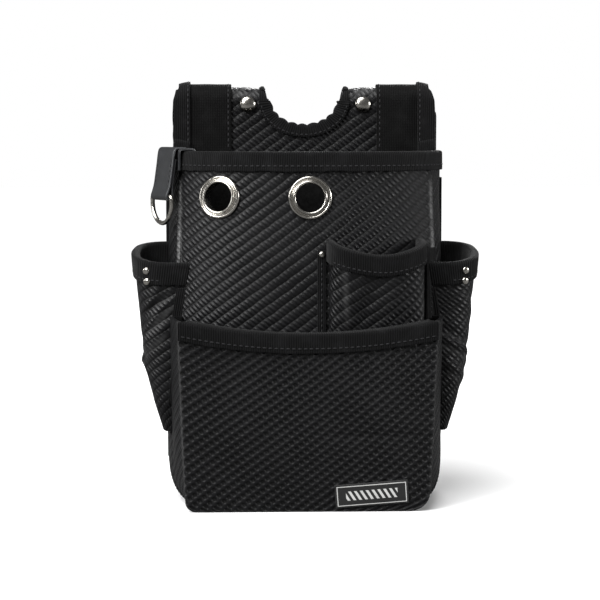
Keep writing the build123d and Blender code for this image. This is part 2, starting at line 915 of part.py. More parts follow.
def side_seam_tape(side):
    """Tape down the front seam of a side pocket."""
    low = side_knee_height
    high = side_mouth_front - side_band - 2 * tape
    skin = side_body(bound, low, high) - side_body(gap, low - sliver, high + sliver)
    skin &= slab(0, far, -far, side_front_y + side_tape_width, -far, far)
    return only_solid(on_side(skin - outside_main(), side))


def side_pocket_rivets():
    """Two small rivets at the front corner of each side pocket's mouth."""
    rivets = []
    for side in (-1, 1):
        for place in side_rivet_places():
            shape = Pos(0, 0, bound + gap) * domed_cap(side_rivet_radius, cap_height)
            shape += stud(-pocket_leather - bound, bound + gap + cap_height / 4,
                          small_shank_radius)
            rivets.append(only_solid(on_side(place * shape, side)))
    return Compound(children=rivets)


# Ring strap and D-ring

def strap_place():
    """Frame on the rim where the ring strap hangs: X along the rim, Y outwards, Z up."""
    facing = math.radians(strap_facing)
    target = Vector(math.sin(facing), -math.cos(facing), 0)
    across = Vector(math.cos(facing), math.sin(facing), 0)
    u = solve_wall(lambda v: wall_normal(v, rim_height).dot(across))
    point = wall_point(u, rim_height)
    outwards = Vector(-target.X, target.Y, 0)
    along = outwards.cross(Vector(0, 0, 1))
    return Plane(origin=(-point.X, point.Y, rim_height), x_dir=along, z_dir=(0, 0, 1))


def rim_reach(grow):
    """Least and greatest outward reach of a rim surface behind the width of the strap."""
    frame = strap_place()
    reaches = []
    for step in range(rim_samples):
        for z in (rim_height - anchor_leg, rim_height):
            at = wall_point(step / rim_samples, z, grow)
            local = frame.to_local_coords(Vector(-at.X, at.Y, rim_height))
            if abs(local.X) <= strap_width / 2 + gap:
                reaches.append(local.Y)
    return min(reaches), max(reaches)


def anchor_limits():
    """Inner and outer faces of the anchor's slot, clear of the bound rim."""
    inner, _ = rim_reach(-leather - bound)
    _, outer = rim_reach(bound)
    return inner - gap, outer + gap


def hinge_offset():
    """Outward distance and height of the strap's hinge line, from the rim's outer edge."""
    outward = anchor_limits()[1] + anchor_thickness + gap + strap_thickness / 2
    height = bound + gap + anchor_thickness - strap_thickness / 2
    return outward, height


def hinge_frame():
    outward, height = hinge_offset()
    return strap_place().location * Pos(0, outward, height)


def ring_strap_anchor():
    """Leather clip that is folded over the rim and sewn through it."""
    inner, outer = anchor_limits()
    top = bound + gap
    half = strap_width / 2
    clip = slab(-half, half, inner - anchor_thickness, outer + anchor_thickness,
                -anchor_leg, top + anchor_thickness)
    clip -= slab(-far, far, inner, outer, -far, top)
    return only_solid(strap_place().location * clip)


def strap_rest():
    """Turn of the strap about its hinge line at rest."""
    return Rot(strap_lean, 0, 0)


def ring_strap():
    """Doubled leather strap, with a round top edge and a loop for the ring's bar."""
    half = strap_thickness / 2
    loop_outer = ring_wire_radius + pin_gap + strap_loop_wall
    blade = slab(-strap_width / 2, strap_width / 2, -half, half, -strap_drop, 0)
    blade += Rot(0, 90, 0) * Cylinder(half, strap_width)
    lower = Pos(0, 0, -strap_drop) * Rot(0, 90, 0)
    blade += lower * Cylinder(loop_outer, strap_width)
    blade -= lower * Cylinder(ring_wire_radius + pin_gap, strap_width + 2)
    return only_solid(hinge_frame() * strap_rest() * blade)


def ring_bar_frame():
    """Frame on the D-ring's bar at rest: X along the bar, Z up."""
    lean = math.radians(strap_lean)
    return hinge_frame() * Pos(0, strap_drop * math.sin(lean), -strap_drop * math.cos(lean))


def d_ring():
    """Bent wire ring: a straight bar, two short legs and a half round."""
    wire = ring_wire_radius
    half = ring_inner_width / 2 + wire
    shape = Rot(0, 90, 0) * Cylinder(wire, 2 * half)
    for x in (-half, half):
        shape += Pos(x, 0, 0) * Sphere(wire)
        shape += Pos(x, 0, -ring_leg / 2) * Cylinder(wire, ring_leg)
    hoop = Rot(90, 0, 0) * Torus(half, wire)
    hoop &= slab(-far, far, -far, far, -far, 0)
    shape += Pos(0, 0, -ring_leg) * hoop
    return only_solid(ring_bar_frame() * shape)


parts = {
    "back_panel": back_panel(),
    "back_board": back_board(),
    "left_back_binding": back_binding(-1),
    "right_back_binding": back_binding(1),
    "left_belt_loop": belt_loop(-1),
    "right_belt_loop": belt_loop(1),
    "left_loop_webbing": loop_webbing(-1),
    "right_loop_webbing": loop_webbing(1),
    "left_loop_edge_tape": loop_edge_tape(-1),
    "right_loop_edge_tape": loop_edge_tape(1),
    "left_inner_edge_tape": inner_edge_tape(-1),
    "right_inner_edge_tape": inner_edge_tape(1),
    "notch_binding": notch_binding(),
    "dome_rivets": dome_rivets(),
    "dome_rivet_backs": dome_rivet_backs(),
    "rim_end_tabs": rim_end_tabs(),
    "front_panel": front_panel(),
    "left_gusset": main_gusset(-1),
    "right_gusset": main_gusset(1),
    "bottom_panel": bottom_panel(),
    "bottom_board": bottom_board(),
    "main_rim_binding": main_rim_binding(),
    "eyelets": eyelets(),
    "eyelet_washers": eyelet_washers(),
    "lower_front_panel": lower_front_panel(),
    "lower_left_gusset": lower_gusset(-1),
    "lower_right_gusset": lower_gusset(1),
    "lower_floor_strip": lower_floor(),
    "lower_rim_binding": lower_rim_binding(),
    "label": label(),
    "small_pocket": small_pocket(),
    "small_pocket_binding": small_pocket_binding(),
    "small_pocket_tabs": small_pocket_tabs(),
    "small_pocket_rivet": small_pocket_rivet(),
    "left_side_pocket": side_pocket(-1),
    "right_side_pocket": side_pocket(1),
    "left_side_pocket_binding": side_pocket_binding(-1),
    "right_side_pocket_binding": side_pocket_binding(1),
    "left_side_seam_tape": side_seam_tape(-1),
    "right_side_seam_tape": side_seam_tape(1),
    "side_pocket_rivets": side_pocket_rivets(),
    "ring_strap_anchor": ring_strap_anchor(),
    "ring_strap": ring_strap(),
    "d_ring": d_ring(),
}

os.makedirs("parts", exist_ok=True)
for name, shape in parts.items():
    export_step(centre_shift * shape, f"parts/{name}.step")

hinge = (centre_shift * hinge_frame()).position
bar = (centre_shift * ring_bar_frame()).position
hinge_axis = strap_place().x_dir
print("strap hinge line", hinge, "ring bar", bar, "axis", hinge_axis)
for place in eyelet_places():
    moved = centre_shift * place
    print("eyelet", moved.position, "axis", Plane(moved).z_dir)
print("eyelet barrel from", -(leather + eyelet_drop(washer_radius) + 3 * gap + washer_thickness),
      "to", gap + eyelet_flange + eyelet_lip)
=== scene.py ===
import json
import math
from functools import lru_cache

import bmesh
import bpy
from bpy.props import FloatProperty, FloatVectorProperty, PointerProperty
from mathutils import Matrix, Vector, noise


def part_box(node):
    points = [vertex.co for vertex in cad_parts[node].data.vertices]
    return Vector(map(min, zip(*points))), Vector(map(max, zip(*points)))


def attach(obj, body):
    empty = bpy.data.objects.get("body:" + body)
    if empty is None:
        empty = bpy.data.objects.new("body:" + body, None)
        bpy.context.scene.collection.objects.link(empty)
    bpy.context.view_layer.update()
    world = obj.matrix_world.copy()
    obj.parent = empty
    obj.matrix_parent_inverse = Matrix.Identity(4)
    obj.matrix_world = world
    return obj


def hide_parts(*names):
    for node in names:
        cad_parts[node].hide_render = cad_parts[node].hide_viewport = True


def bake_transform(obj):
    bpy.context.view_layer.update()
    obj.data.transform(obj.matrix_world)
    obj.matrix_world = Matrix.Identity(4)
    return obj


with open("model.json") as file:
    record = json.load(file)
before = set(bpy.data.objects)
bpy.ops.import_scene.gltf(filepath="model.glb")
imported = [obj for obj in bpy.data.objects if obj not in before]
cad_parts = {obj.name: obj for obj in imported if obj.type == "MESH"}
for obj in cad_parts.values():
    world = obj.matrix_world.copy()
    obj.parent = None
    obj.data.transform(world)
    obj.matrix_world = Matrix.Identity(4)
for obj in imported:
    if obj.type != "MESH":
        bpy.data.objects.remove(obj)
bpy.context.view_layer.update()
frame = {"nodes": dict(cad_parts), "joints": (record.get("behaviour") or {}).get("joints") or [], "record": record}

bl_info = {
    "name": "Tool Pouch Maker",
    "version": (1, 0, 0),
    "blender": (4, 5, 0),
    "location": "3D View > Sidebar > Pouch",
    "description": "Makes an electrician's belt pouch round its packed frame",
    "category": "Add Mesh",
}

# Every surface below is drawn in millimetres. X runs to the right, Y to the rear with 0 on
# the rear face of the back panel, and Z up from the surface that the pouch stands on.
MM = 0.001


@lru_cache(maxsize=None)
def low_mm(node):
    """Lowest corner of a node, as drawn here."""
    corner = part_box(node)[0] / MM
    return Vector((corner.x, corner.y - REAR, corner.z))


@lru_cache(maxsize=None)
def high_mm(node):
    """Highest corner of a node, as drawn here."""
    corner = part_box(node)[1] / MM
    return Vector((corner.x, corner.y - REAR, corner.z))


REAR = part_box("back_panel")[1].y / MM
BACK_HALF = high_mm("back_panel").x
RIM = high_mm("front_panel").z
SEAM_X = high_mm("front_panel").x
FOLD = high_mm("back_panel").z
TOP = high_mm("left_belt_loop").z
EAR = high_mm("right_belt_loop").x
NOTCH_HALF = low_mm("right_belt_loop").x
NOTCH_DEEP = 19.0
NOTCH_MIDDLE = 285.5
CORNER = 25.0
LEATHER = 3.0
THIN = 2.5
TAPE = 1.5
WEB = 2.0
GAP = 0.3
BOUND = GAP + TAPE
CENTRE_LINE = GAP + TAPE / 2
FLOOR_X = BACK_HALF + GAP - CORNER
INSIDE_Y = -(LEATHER + GAP)
LOOPS_CLEAR_Y = -(LEATHER + WEB + TAPE + 3 * GAP)

# Outlines of the main pouch: height, side, depth, and how square the front corners are.
LEVELS = (
    (0.0, BACK_HALF + 4.5, 79.0, 0.84),
    (134.0, BACK_HALF + 6.0, 80.0, 0.80),
    (177.0, BACK_HALF + 5.5, 78.0, 0.72),
    (RIM, BACK_HALF + 4.5, 73.0, 0.60),
)

TUNNEL = 12.0
FOOT_BELOW_RIM = 13.0       # the webbing's front ends, inside the main pouch
LOOP_BEND = 229.25
LOOP_SEAM = 211.25
LOOP_END = low_mm("left_belt_loop").z

LOWER_RIM = high_mm("lower_front_panel").z
LOWER_SAG = 9.0
LOWER_BASE_HALF = 85.0
LOWER_RIM_HALF = 89.0
LOWER_BASE_DEPTH = 88.0
LOWER_RIM_DEPTH = 102.0
LOWER_REAR_HALF = 98.0
LOWER_REAR_Y = -50.0
LOWER_TILT = math.atan2(LOWER_RIM_DEPTH - LOWER_BASE_DEPTH, LOWER_RIM)
LOWER_SLOPE = LOWER_RIM / math.cos(LOWER_TILT)
LOWER_STRIP_X = 68.0

SMALL_X = (low_mm("small_pocket").x + high_mm("small_pocket").x) / 2
SMALL_HALF = (high_mm("small_pocket").x - low_mm("small_pocket").x) / 2
SMALL_RIM = 187.0
SMALL_FOOT = low_mm("small_pocket").z
SMALL_SAG = 9.0

SIDE_FRONT = -58.0
SIDE_REAR = -11.0
SIDE_MIDDLE = (SIDE_FRONT + SIDE_REAR) / 2
SIDE_MOUTH_REAR = high_mm("right_side_pocket").z
SIDE_MOUTH_FRONT = 170.0
SIDE_SQUARE = 0.72
SIDE_STEPS = (
    (low_mm("right_side_pocket").z, 4.0, 14.0),
    (72.0, 11.0, 19.7),
    (100.0, 17.5, 23.5),
    (SIDE_MOUTH_REAR, 24.7, 23.5),
)
SIDES = (("left", -1), ("right", 1))


# Sizes and colours

class PouchSizes(bpy.types.PropertyGroup):
    """Sizes that change how the pouch looks without changing its size."""
    rib_pitch: FloatProperty(
        name="Rib pitch", description="Distance between the embossed diagonal ribs",
        default=0.0064, min=0.002, max=0.02, unit="LENGTH", subtype="DISTANCE")
    dash_pitch: FloatProperty(
        name="Dash pitch", description="Length of one dash along a rib",
        default=0.0030, min=0.001, max=0.02, unit="LENGTH", subtype="DISTANCE")
    lattice_pitch: FloatProperty(
        name="Lattice pitch", description="Distance between rows of dimples on the lower pouch",
        default=0.0052, min=0.002, max=0.02, unit="LENGTH", subtype="DISTANCE")
    emboss: FloatProperty(
        name="Emboss depth", description="Depth of the embossed pattern",
        default=0.0008, min=0.0, max=0.002, unit="LENGTH", subtype="DISTANCE")
    tape_rib: FloatProperty(
        name="Tape rib", description="Pitch of the ribs across the binding tape",
        default=0.0015, min=0.0005, max=0.005, unit="LENGTH", subtype="DISTANCE")
    stitch_pitch: FloatProperty(
        name="Stitch pitch", description="Distance from one stitch to the next",
        default=0.0040, min=0.002, max=0.01, unit="LENGTH", subtype="DISTANCE")
    slackness: FloatProperty(
        name="Slackness", description="How far the leather walls belly and ripple",
        default=0.0012, min=0.0, max=0.004, unit="LENGTH", subtype="DISTANCE")
    gather: FloatProperty(
        name="Gather", description="Height of the gathers in the tape round the notch",
        default=0.0014, min=0.0, max=0.004, unit="LENGTH", subtype="DISTANCE")


class PouchColours(bpy.types.PropertyGroup):
    """Colours of the pouch's materials."""
    leather: FloatVectorProperty(
        name="Leather", description="Raised part of the embossed leather",
        default=(0.0080, 0.0080, 0.0088), size=3, min=0.0, max=1.0, subtype="COLOR")
    # Painted shade: the sunken part of the emboss is coloured much darker than the raised leather.
    groove_shade: FloatVectorProperty(
        name="Groove", description="Sunken part of the embossed leather",
        default=(0.0008, 0.0008, 0.0009), size=3, min=0.0, max=1.0, subtype="COLOR")
    tape: FloatVectorProperty(
        name="Tape", description="Binding tape",
        default=(0.0036, 0.0036, 0.0038), size=3, min=0.0, max=1.0, subtype="COLOR")
    webbing: FloatVectorProperty(
        name="Webbing", description="Belt loop webbing",
        default=(0.0026, 0.0026, 0.0026), size=3, min=0.0, max=1.0, subtype="COLOR")
    metal: FloatVectorProperty(
        name="Metal", description="Eyelets, rivets and ring",
        default=(0.52, 0.50, 0.46), size=3, min=0.0, max=1.0, subtype="COLOR")
    strap: FloatVectorProperty(
        name="Strap", description="Smooth leather of the ring strap",
        default=(0.024, 0.025, 0.027), size=3, min=0.0, max=1.0, subtype="COLOR")


# Lines and surfaces

def between(low, high, share):
    return low + (high - low) * share


def step_up(low, high, value):
    """Smooth rise from 0 at low to 1 at high."""
    share = min(1.0, max(0.0, (value - low) / (high - low)))
    return share * share * (3 - 2 * share)


def bump_at(value, centre, width):
    """A rounded hump, 1 at its centre."""
    return math.exp(-((value - centre) / width) ** 2)


def ripple(x, y, size, seed=0.0):
    """Smooth uneven ripples between about -1 and 1."""
    return noise.noise(Vector((x / size, y / size, seed)))


class Trail:
    """A line through points, read by its share of the whole length."""

    def __init__(self, points, rounds=0):
        for _ in range(rounds):
            points = self.rounded(points)
        self.points = points
        self.lengths = [0.0]
        for a, b in zip(points, points[1:]):
            self.lengths.append(self.lengths[-1] + (Vector(b) - Vector(a)).length)
        self.length = self.lengths[-1]

    @staticmethod
    def rounded(points):
        """Cuts each corner of the line, and keeps its two ends."""
        made = [points[0]]
        for a, b in zip(points, points[1:]):
            a, b = Vector(a), Vector(b)
            made += [a.lerp(b, 0.25), a.lerp(b, 0.75)]
        return made + [points[-1]]

    def at(self, share):
        want = min(1.0, max(0.0, share)) * self.length
        low, high = 0, len(self.lengths) - 1
        while high - low > 1:
            middle = (low + high) // 2
            if self.lengths[middle] <= want:
                low = middle
            else:
                high = middle
        span = self.lengths[high] - self.lengths[low]
        part = (want - self.lengths[low]) / span if span else 0.0
        return Vector(self.points[low]).lerp(Vector(self.points[high]), part)


def weights(t):
    """Weights of a bent line's four control points at a share of its way."""
    return (1 - t) ** 3, 3 * t * (1 - t) ** 2, 3 * t * t * (1 - t), t ** 3


def bent(points, t):
    """X and Y on the bent line of four control points."""
    w = weights(t)
    return sum(a * b[0] for a, b in zip(w, points)), sum(a * b[1] for a, b in zip(w, points))


def step_at(steps, z):
    """The two steps that a height lies between, and its share of the way."""
    low, high = steps[0], steps[1]
    for a, b in zip(steps, steps[1:]):
        if z >= a[0]:
            low, high = a, b
    return low, high, (z - low[0]) / (high[0] - low[0])


@lru_cache(maxsize=None)
def outline(z):
    """Control points of the right half of the main pouch, back to front."""
    low, high, share = step_at(LEVELS, z)

    def controls(level):
        _, side, depth, square = level
        return (BACK_HALF, 0.0), (side, -square * depth), (square * side, -depth), (0.0, -depth)

    pairs = zip(controls(low), controls(high))
    return [(between(a[0], b[0], share), between(a[1], b[1], share)) for a, b in pairs]


def wall(t, z, out=0.0):
    """A point on the right wall: t is 0 at the back and 1 at the front middle."""
    p = outline(round(z, 3))
    x, y = bent(p, t)
    if out:
        near, far = weights(t - 0.002), weights(t + 0.002)
        along_x = sum((b - a) * q[0] for a, b, q in zip(near, far, p))
        along_y = sum((b - a) * q[1] for a, b, q in zip(near, far, p))
        size = math.hypot(along_x, along_y)
        x -= along_y / size * out
        y += along_x / size * out
    return Vector((x, y, z))


def solve(test):
    """Where a test that falls from 0 to 1 crosses zero."""
    low, high = 0.0, 1.0
    for _ in range(26):
        middle = (low + high) / 2
        low, high = (middle, high) if test(middle) > 0 else (low, middle)
    return (low + high) / 2


@lru_cache(maxsize=None)
def wall_at_x(x, z):
    """Share round the right wall at which it reaches an X."""
    return solve(lambda t: wall(t, z).x - x)


@lru_cache(maxsize=None)
def wall_at_y(y, z):
    """Share round the right wall at which it reaches a Y."""
    return solve(lambda t: wall(t, z).y - y)


def front_y(x, z):
    """Where the main pouch's front stands at an X."""
    return wall(wall_at_x(round(abs(x), 2), round(z, 2)), z).y


def side_x(y, z):
    """Where the main pouch's side stands at a Y."""
    return wall(wall_at_y(round(y, 2), round(z, 2)), z).x


def slack():
    """Softness of the leather walls, as drawn here."""
    return bpy.context.scene.pouch_sizes.slackness / MM


def wall_relief(z, across):
    """How far the wall leather stands out from its plain shape: soft ripples, and the rolled
    fold beside each front seam."""
    tied = step_up(RIM - 2, RIM - 26, z) * step_up(2, 14, z)
    soft = slack() * tied * (ripple(across, z, 60.0, 3.1) + 0.3 * ripple(across, z, 17.0, 8.4))
    fold = step_up(LOWER_RIM - 30, LOWER_RIM, z) * step_up(RIM - 8, RIM - 22, z)
    roll = (1.6 * bump_at(abs(across), SEAM_X + 2.6, 2.0)
            + 0.7 * bump_at(abs(across), SEAM_X - 2.4, 2.2))
    return soft + fold * roll


# Making meshes

LINED = ["twill leather", "lining cloth"]
FINE_STITCH = {"long": 2.3, "pitch": 3.6}


def spot(point):
    """A point drawn in millimetres, in the shared frame."""
    return Vector((point[0] * MM, (point[1] + REAR) * MM, point[2] * MM))


def lay(bm, across, up, place, rub=None, chart=None):
    """Adds a grid and lays its corners on place(u, v). The map keeps the flat lengths in millimetres, or chart(u,
    v), and a vertex layer keeps the rubbed wear and painted highlight given for each corner."""
    flat = bm.loops.layers.uv.get("flat") or bm.loops.layers.uv.new("flat")
    wear_and_highlight = bm.verts.layers.float.get("wear_and_highlight") or bm.verts.layers.float.new("wear_and_highlight")
    made = bmesh.ops.create_grid(bm, x_segments=across, y_segments=up, size=1.0)["verts"]
    shares = {v: ((v.co.x + 1) / 2, (v.co.y + 1) / 2) for v in made}
    width = Trail([place(i / across, 0.5) for i in range(across + 1)])
    height = Trail([place(0.5, i / up) for i in range(up + 1)])
    for v, (u, w) in shares.items():
        v.co = spot(place(u, w))
        v[wear_and_highlight] = rub(u, w) if rub else 0.0
    faces = {f for v in made for f in v.link_faces}
    for face in faces:
        for loop in face.loops:
            u, w = shares[loop.vert]
            if chart:
                loop[flat].uv = chart(u, w)
                continue
            i, j = min(u * across, across - 1e-6), min(w * up, up - 1e-6)
            a, b = int(max(i, 0)), int(max(j, 0))
            loop[flat].uv = (between(width.lengths[a], width.lengths[a + 1], i - a),
                             between(height.lengths[b], height.lengths[b + 1], j - b))
    return made


def finish_piece(name, bm, materials, body="pouch", replaces=(), slot=None, smooth=True):
    """Turns a mesh into a piece that rides on a body."""
    mesh = bpy.data.meshes.new(name)
    for face in bm.faces:
        face.smooth = smooth
    bm.to_mesh(mesh)
    bm.free()
    for material in materials:
        mesh.materials.append(bpy.data.materials[material])
    piece = bpy.data.objects.new(name, mesh)
    bpy.context.scene.collection.objects.link(piece)
    if body:
        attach(piece, body)
    if replaces:
        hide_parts(*replaces)
    return piece


def give_wall(piece, thickness, offset=-1.0, lined=False, edge=0.5):
    """Gives a laid sheet its thickness, with rounded cut edges."""
    wall_mod = piece.modifiers.new("thickness", "SOLIDIFY")
    wall_mod.thickness = thickness * MM
    wall_mod.offset = offset
    wall_mod.use_even_offset = False
    wall_mod.use_quality_normals = True
    if lined:
        wall_mod.material_offset = 1
    if edge:
        bevel = piece.modifiers.new("cut edge", "BEVEL")
        bevel.width = edge * MM
        bevel.segments = 2
        bevel.limit_method = "ANGLE"
        bevel.angle_limit = math.radians(50)
    return piece


def sheet_piece(name, across, up, place, thickness, materials, rub=None, flip=False, offset=-1.0,
                edge=0.5, body="pouch", replaces=(), slot=None):
    """One laid sheet with a wall."""
    bm = bmesh.new()
    lay(bm, across, up, place, rub)
    bmesh.ops.remove_doubles(bm, verts=bm.verts, dist=0.02 * MM)
    if flip:
        bmesh.ops.reverse_faces(bm, faces=bm.faces)
    piece = finish_piece(name, bm, materials, body, replaces, slot)
    return give_wall(piece, thickness, offset, len(materials) > 1, edge)


def tape_piece(name, across, up, place, replaces, offset=0.0, edge=0.3, **more):
    """One laid strip of binding tape."""
    return sheet_piece(name, across, up, place, TAPE, ["binding tape"], offset=offset, edge=edge,
                       replaces=replaces, slot="binding_tape", **more)


def turned(bm, profile, origin, axis, steps=48):
    """Spins a profile of (radius, height) points round an axis that starts at origin."""
    axis = Vector(axis).normalized()
    turn = axis.to_track_quat("Z", "Y").to_matrix().to_4x4()
    turn.translation = spot(origin)
    verts = [bm.verts.new(turn @ Vector((r * MM, 0, h * MM))) for r, h in profile]
    edges = [bm.edges.new(pair) for pair in zip(verts, verts[1:])]
    bmesh.ops.spin(bm, geom=verts + edges, cent=spot(origin), axis=axis, dvec=(0, 0, 0),
                   angle=2 * math.pi, steps=steps, use_merge=True, use_duplicate=False)


def closed_up(bm):
    """Merges doubles at seams and poles, and turns every face outwards."""
    bmesh.ops.remove_doubles(bm, verts=bm.verts, dist=0.01 * MM)
    bmesh.ops.recalc_face_normals(bm, faces=bm.faces)


def stitch_row(name, line, outwards, body="pouch", long=2.7, thick=0.45, pitch=None, skip=None):
    """A row of lockstitches along line(share) -> point, half sunk in the layer below."""
    pitch = pitch or bpy.context.scene.pouch_sizes.stitch_pitch / MM
    path = Trail([line(i / 120) for i in range(121)])
    count = max(2, int(path.length / pitch))
    bm = bmesh.new()
    for i in range(count):
        share = (i + 0.5) / count
        if skip and skip(path.at(share)):
            continue
        here = path.at(share)
        along = (path.at(share + 0.4 / count) - path.at(share - 0.4 / count)).normalized()
        out = Vector(outwards(share)).normalized()
        across = along.cross(out).normalized()
        out = across.cross(along)
        turn = Matrix((along, across, out)).transposed().to_4x4()
        size = Matrix.Diagonal((long / 2 * MM, thick * MM, thick * 0.8 * MM, 1.0))
        turn.translation = spot(here)
        bmesh.ops.create_uvsphere(bm, u_segments=6, v_segments=4, radius=1.0,
                                  matrix=turn @ size @ Matrix.Rotation(math.pi / 2, 4, "Y"))
    return finish_piece(name, bm, ["waxed thread"], body, slot="binding_tape")


# Materials

class Finish:
    """A material's nodes, with short ways to add them."""

    def __init__(self, name):
        self.material = bpy.data.materials.new(name)
        self.material.use_nodes = True
        self.tree = self.material.node_tree
        self.shader = next(n for n in self.tree.nodes if n.type == "BSDF_PRINCIPLED")

    def feed(self, socket, value):
        if isinstance(value, bpy.types.NodeSocket):
            self.tree.links.new(value, socket)
        else:
            socket.default_value = value

    def math(self, operation, *values):
        node = self.tree.nodes.new("ShaderNodeMath")
        node.operation = operation
        for socket, value in zip(node.inputs, values):
            self.feed(socket, value)
        return node.outputs[0]

    def flat(self):
        """The piece's own flat lengths, in millimetres."""
        node = self.tree.nodes.new("ShaderNodeUVMap")
        node.uv_map = "flat"
        return node.outputs[0]

    def own(self):
        return self.tree.nodes.new("ShaderNodeTexCoord").outputs["Object"]

    def wear_and_highlight(self):
        node = self.tree.nodes.new("ShaderNodeAttribute")
        node.attribute_name = "wear_and_highlight"
        return node.outputs["Fac"]

    def rows(self, coordinates, pitch, degrees):
        """Count of rows of a given pitch, along a direction."""
        node = self.tree.nodes.new("ShaderNodeVectorMath")
        node.operation = "DOT_PRODUCT"
        turn = math.radians(degrees)
        self.feed(node.inputs[0], coordinates)
        node.inputs[1].default_value = (math.cos(turn) / pitch, math.sin(turn) / pitch, 0)
        return node.outputs["Value"]

    def wave(self, rows):
        """0 to 1 once for each row."""
        turned_rows = self.math("MULTIPLY", rows, 2 * math.pi)
        return self.math("MULTIPLY_ADD", self.math("COSINE", turned_rows), 0.5, 0.5)

    def noise(self, coordinates, scale, detail=3.0, roughness=0.5):
        node = self.tree.nodes.new("ShaderNodeTexNoise")
        self.feed(node.inputs["Vector"], coordinates)
        node.inputs["Scale"].default_value = scale
        node.inputs["Detail"].default_value = detail
        node.inputs["Roughness"].default_value = roughness
        return node.outputs["Fac"]

    def ramp(self, value, low, high, to_low=0.0, to_high=1.0):
        node = self.tree.nodes.new("ShaderNodeMapRange")
        node.interpolation_type = "SMOOTHSTEP"
        for socket, number in zip(node.inputs, (value, low, high, to_low, to_high)):
            self.feed(socket, number)
        return node.outputs[0]

    def mix(self, share, a, b):
        node = self.tree.nodes.new("ShaderNodeMix")
        node.data_type = "RGBA"
        self.feed(node.inputs["Factor"], share)
        self.feed(node.inputs["A"], a if isinstance(a, bpy.types.NodeSocket) else (*a, 1.0))
        self.feed(node.inputs["B"], b if isinstance(b, bpy.types.NodeSocket) else (*b, 1.0))
        return node.outputs["Result"]

    def relief(self, height, depth):
        node = self.tree.nodes.new("ShaderNodeBump")
        node.inputs["Strength"].default_value = 1.0
        node.inputs["Distance"].default_value = depth
        self.feed(node.inputs["Height"], height)
        self.tree.links.new(node.outputs[0], self.shader.inputs["Normal"])

    def set(self, **values):
        for name, value in values.items():
            self.feed(self.shader.inputs[name.replace("_", " ")], value)
        return self


def scaled(colour, factor):
    return tuple(min(1.0, c * factor) for c in colour)


RUBBED_AND_HIGHLIGHT = (0.15, 0.15, 0.15)      # leather rubbed paler along its folds, and a painted highlight on fold ridges and creases


def embossed(name, height_of):
    """Embossed leather: raised parts paler and smoother, grooves painted dark as shade, folds rubbed pale and
    painted with a highlight.
    """
    sizes = bpy.context.scene.pouch_sizes
    colours = bpy.context.scene.pouch_colours
    made = Finish(name)
    flat = made.flat()
    height = height_of(made, flat)
    broad = made.noise(flat, 0.035, 4.0)
    grain = made.noise(flat, 2.2, 4.0, 0.65)
    height = made.math("ADD", height, made.math("MULTIPLY", grain, 0.22))
    # Painted shade in the grooves and dimples; the raised parts take the paler leather colour.
    tone = made.mix(made.ramp(height, 0.15, 1.0), tuple(colours.groove_shade), tuple(colours.leather))
    tone = made.mix(made.ramp(broad, 0.35, 0.7, 0.0, 0.35), tone, scaled(colours.leather, 1.25))
    # Pale tone on folds and creases: partly rubbed wear, partly a painted highlight.
    wear_and_highlight = made.math("MULTIPLY", made.wear_and_highlight(), made.ramp(grain, 0.3, 0.6, 0.55, 1.0))
    tone = made.mix(wear_and_highlight, tone, RUBBED_AND_HIGHLIGHT)
    rough = made.ramp(height, 0.1, 1.0, 0.60, 0.34)
    rough = made.math("ADD", rough, made.ramp(broad, 0.3, 0.7, -0.06, 0.08))
    made.set(Base_Color=tone, Roughness=rough, Specular_IOR_Level=0.27)
    made.relief(height, sizes.emboss * (1.5 if height_of is lattice_height else 1.0))
    return made


def twill_height(made, flat):
    sizes = bpy.context.scene.pouch_sizes
    ribs = made.rows(flat, sizes.rib_pitch / MM, -54)
    ribs = made.math("ADD", ribs, made.math("MULTIPLY", made.noise(flat, 0.12, 2.0), 0.25))
    rib = made.math("ABSOLUTE", made.math("SINE", made.math("MULTIPLY", ribs, math.pi)))
    rib = made.math("POWER", rib, 0.8)
    dash = made.wave(made.rows(flat, sizes.dash_pitch / MM, 47))
    return made.math("MULTIPLY", rib, made.math("MULTIPLY_ADD", dash, 0.62, 0.38))


def lattice_height(made, flat):
    sizes = bpy.context.scene.pouch_sizes
    pitch = sizes.lattice_pitch / MM
    first = made.wave(made.rows(flat, pitch, -53))
    second = made.wave(made.rows(flat, pitch * 0.815, 42))
    both = made.math("MULTIPLY", first, second)
    sunk = made.ramp(both, 0.10, 0.50)
    ridge = made.math("MULTIPLY_ADD", first, -0.35, 1.0)
    return made.math("SUBTRACT", ridge, made.math("MULTIPLY", sunk, 0.95))


def woven(name, colour, across, along, depth, roughness, sheen):
    """Woven narrow fabric: ribs across its length and finer yarns along it."""
    made = Finish(name)
    flat = made.flat()
    rib = made.wave(made.rows(flat, across, 0))
    yarn = made.wave(made.rows(flat, along, 90))
    fibre = made.noise(flat, 3.5, 3.0, 0.7)
    height = made.math("ADD", made.math("MULTIPLY", rib, made.math("MULTIPLY_ADD", yarn, 0.3, 0.7)),
                       made.math("MULTIPLY", fibre, 0.3))
    broad = made.noise(flat, 0.08, 3.0)
    # Painted shade in the valleys between the ribs and a painted highlight on their crests.
    tone = made.mix(made.ramp(height, 0.2, 1.2), scaled(colour, 0.3), scaled(colour, 2.4))
    tone = made.mix(made.ramp(broad, 0.45, 0.7, 0.0, 0.45), tone, scaled(colour, 3.6))
    tone = made.mix(made.wear_and_highlight(), tone, scaled(colour, 4.0))
    made.set(Base_Color=tone, Roughness=roughness, Specular_IOR_Level=0.1, Sheen_Weight=sheen,
             Sheen_Roughness=0.5)
    made.relief(height, depth)
    return made


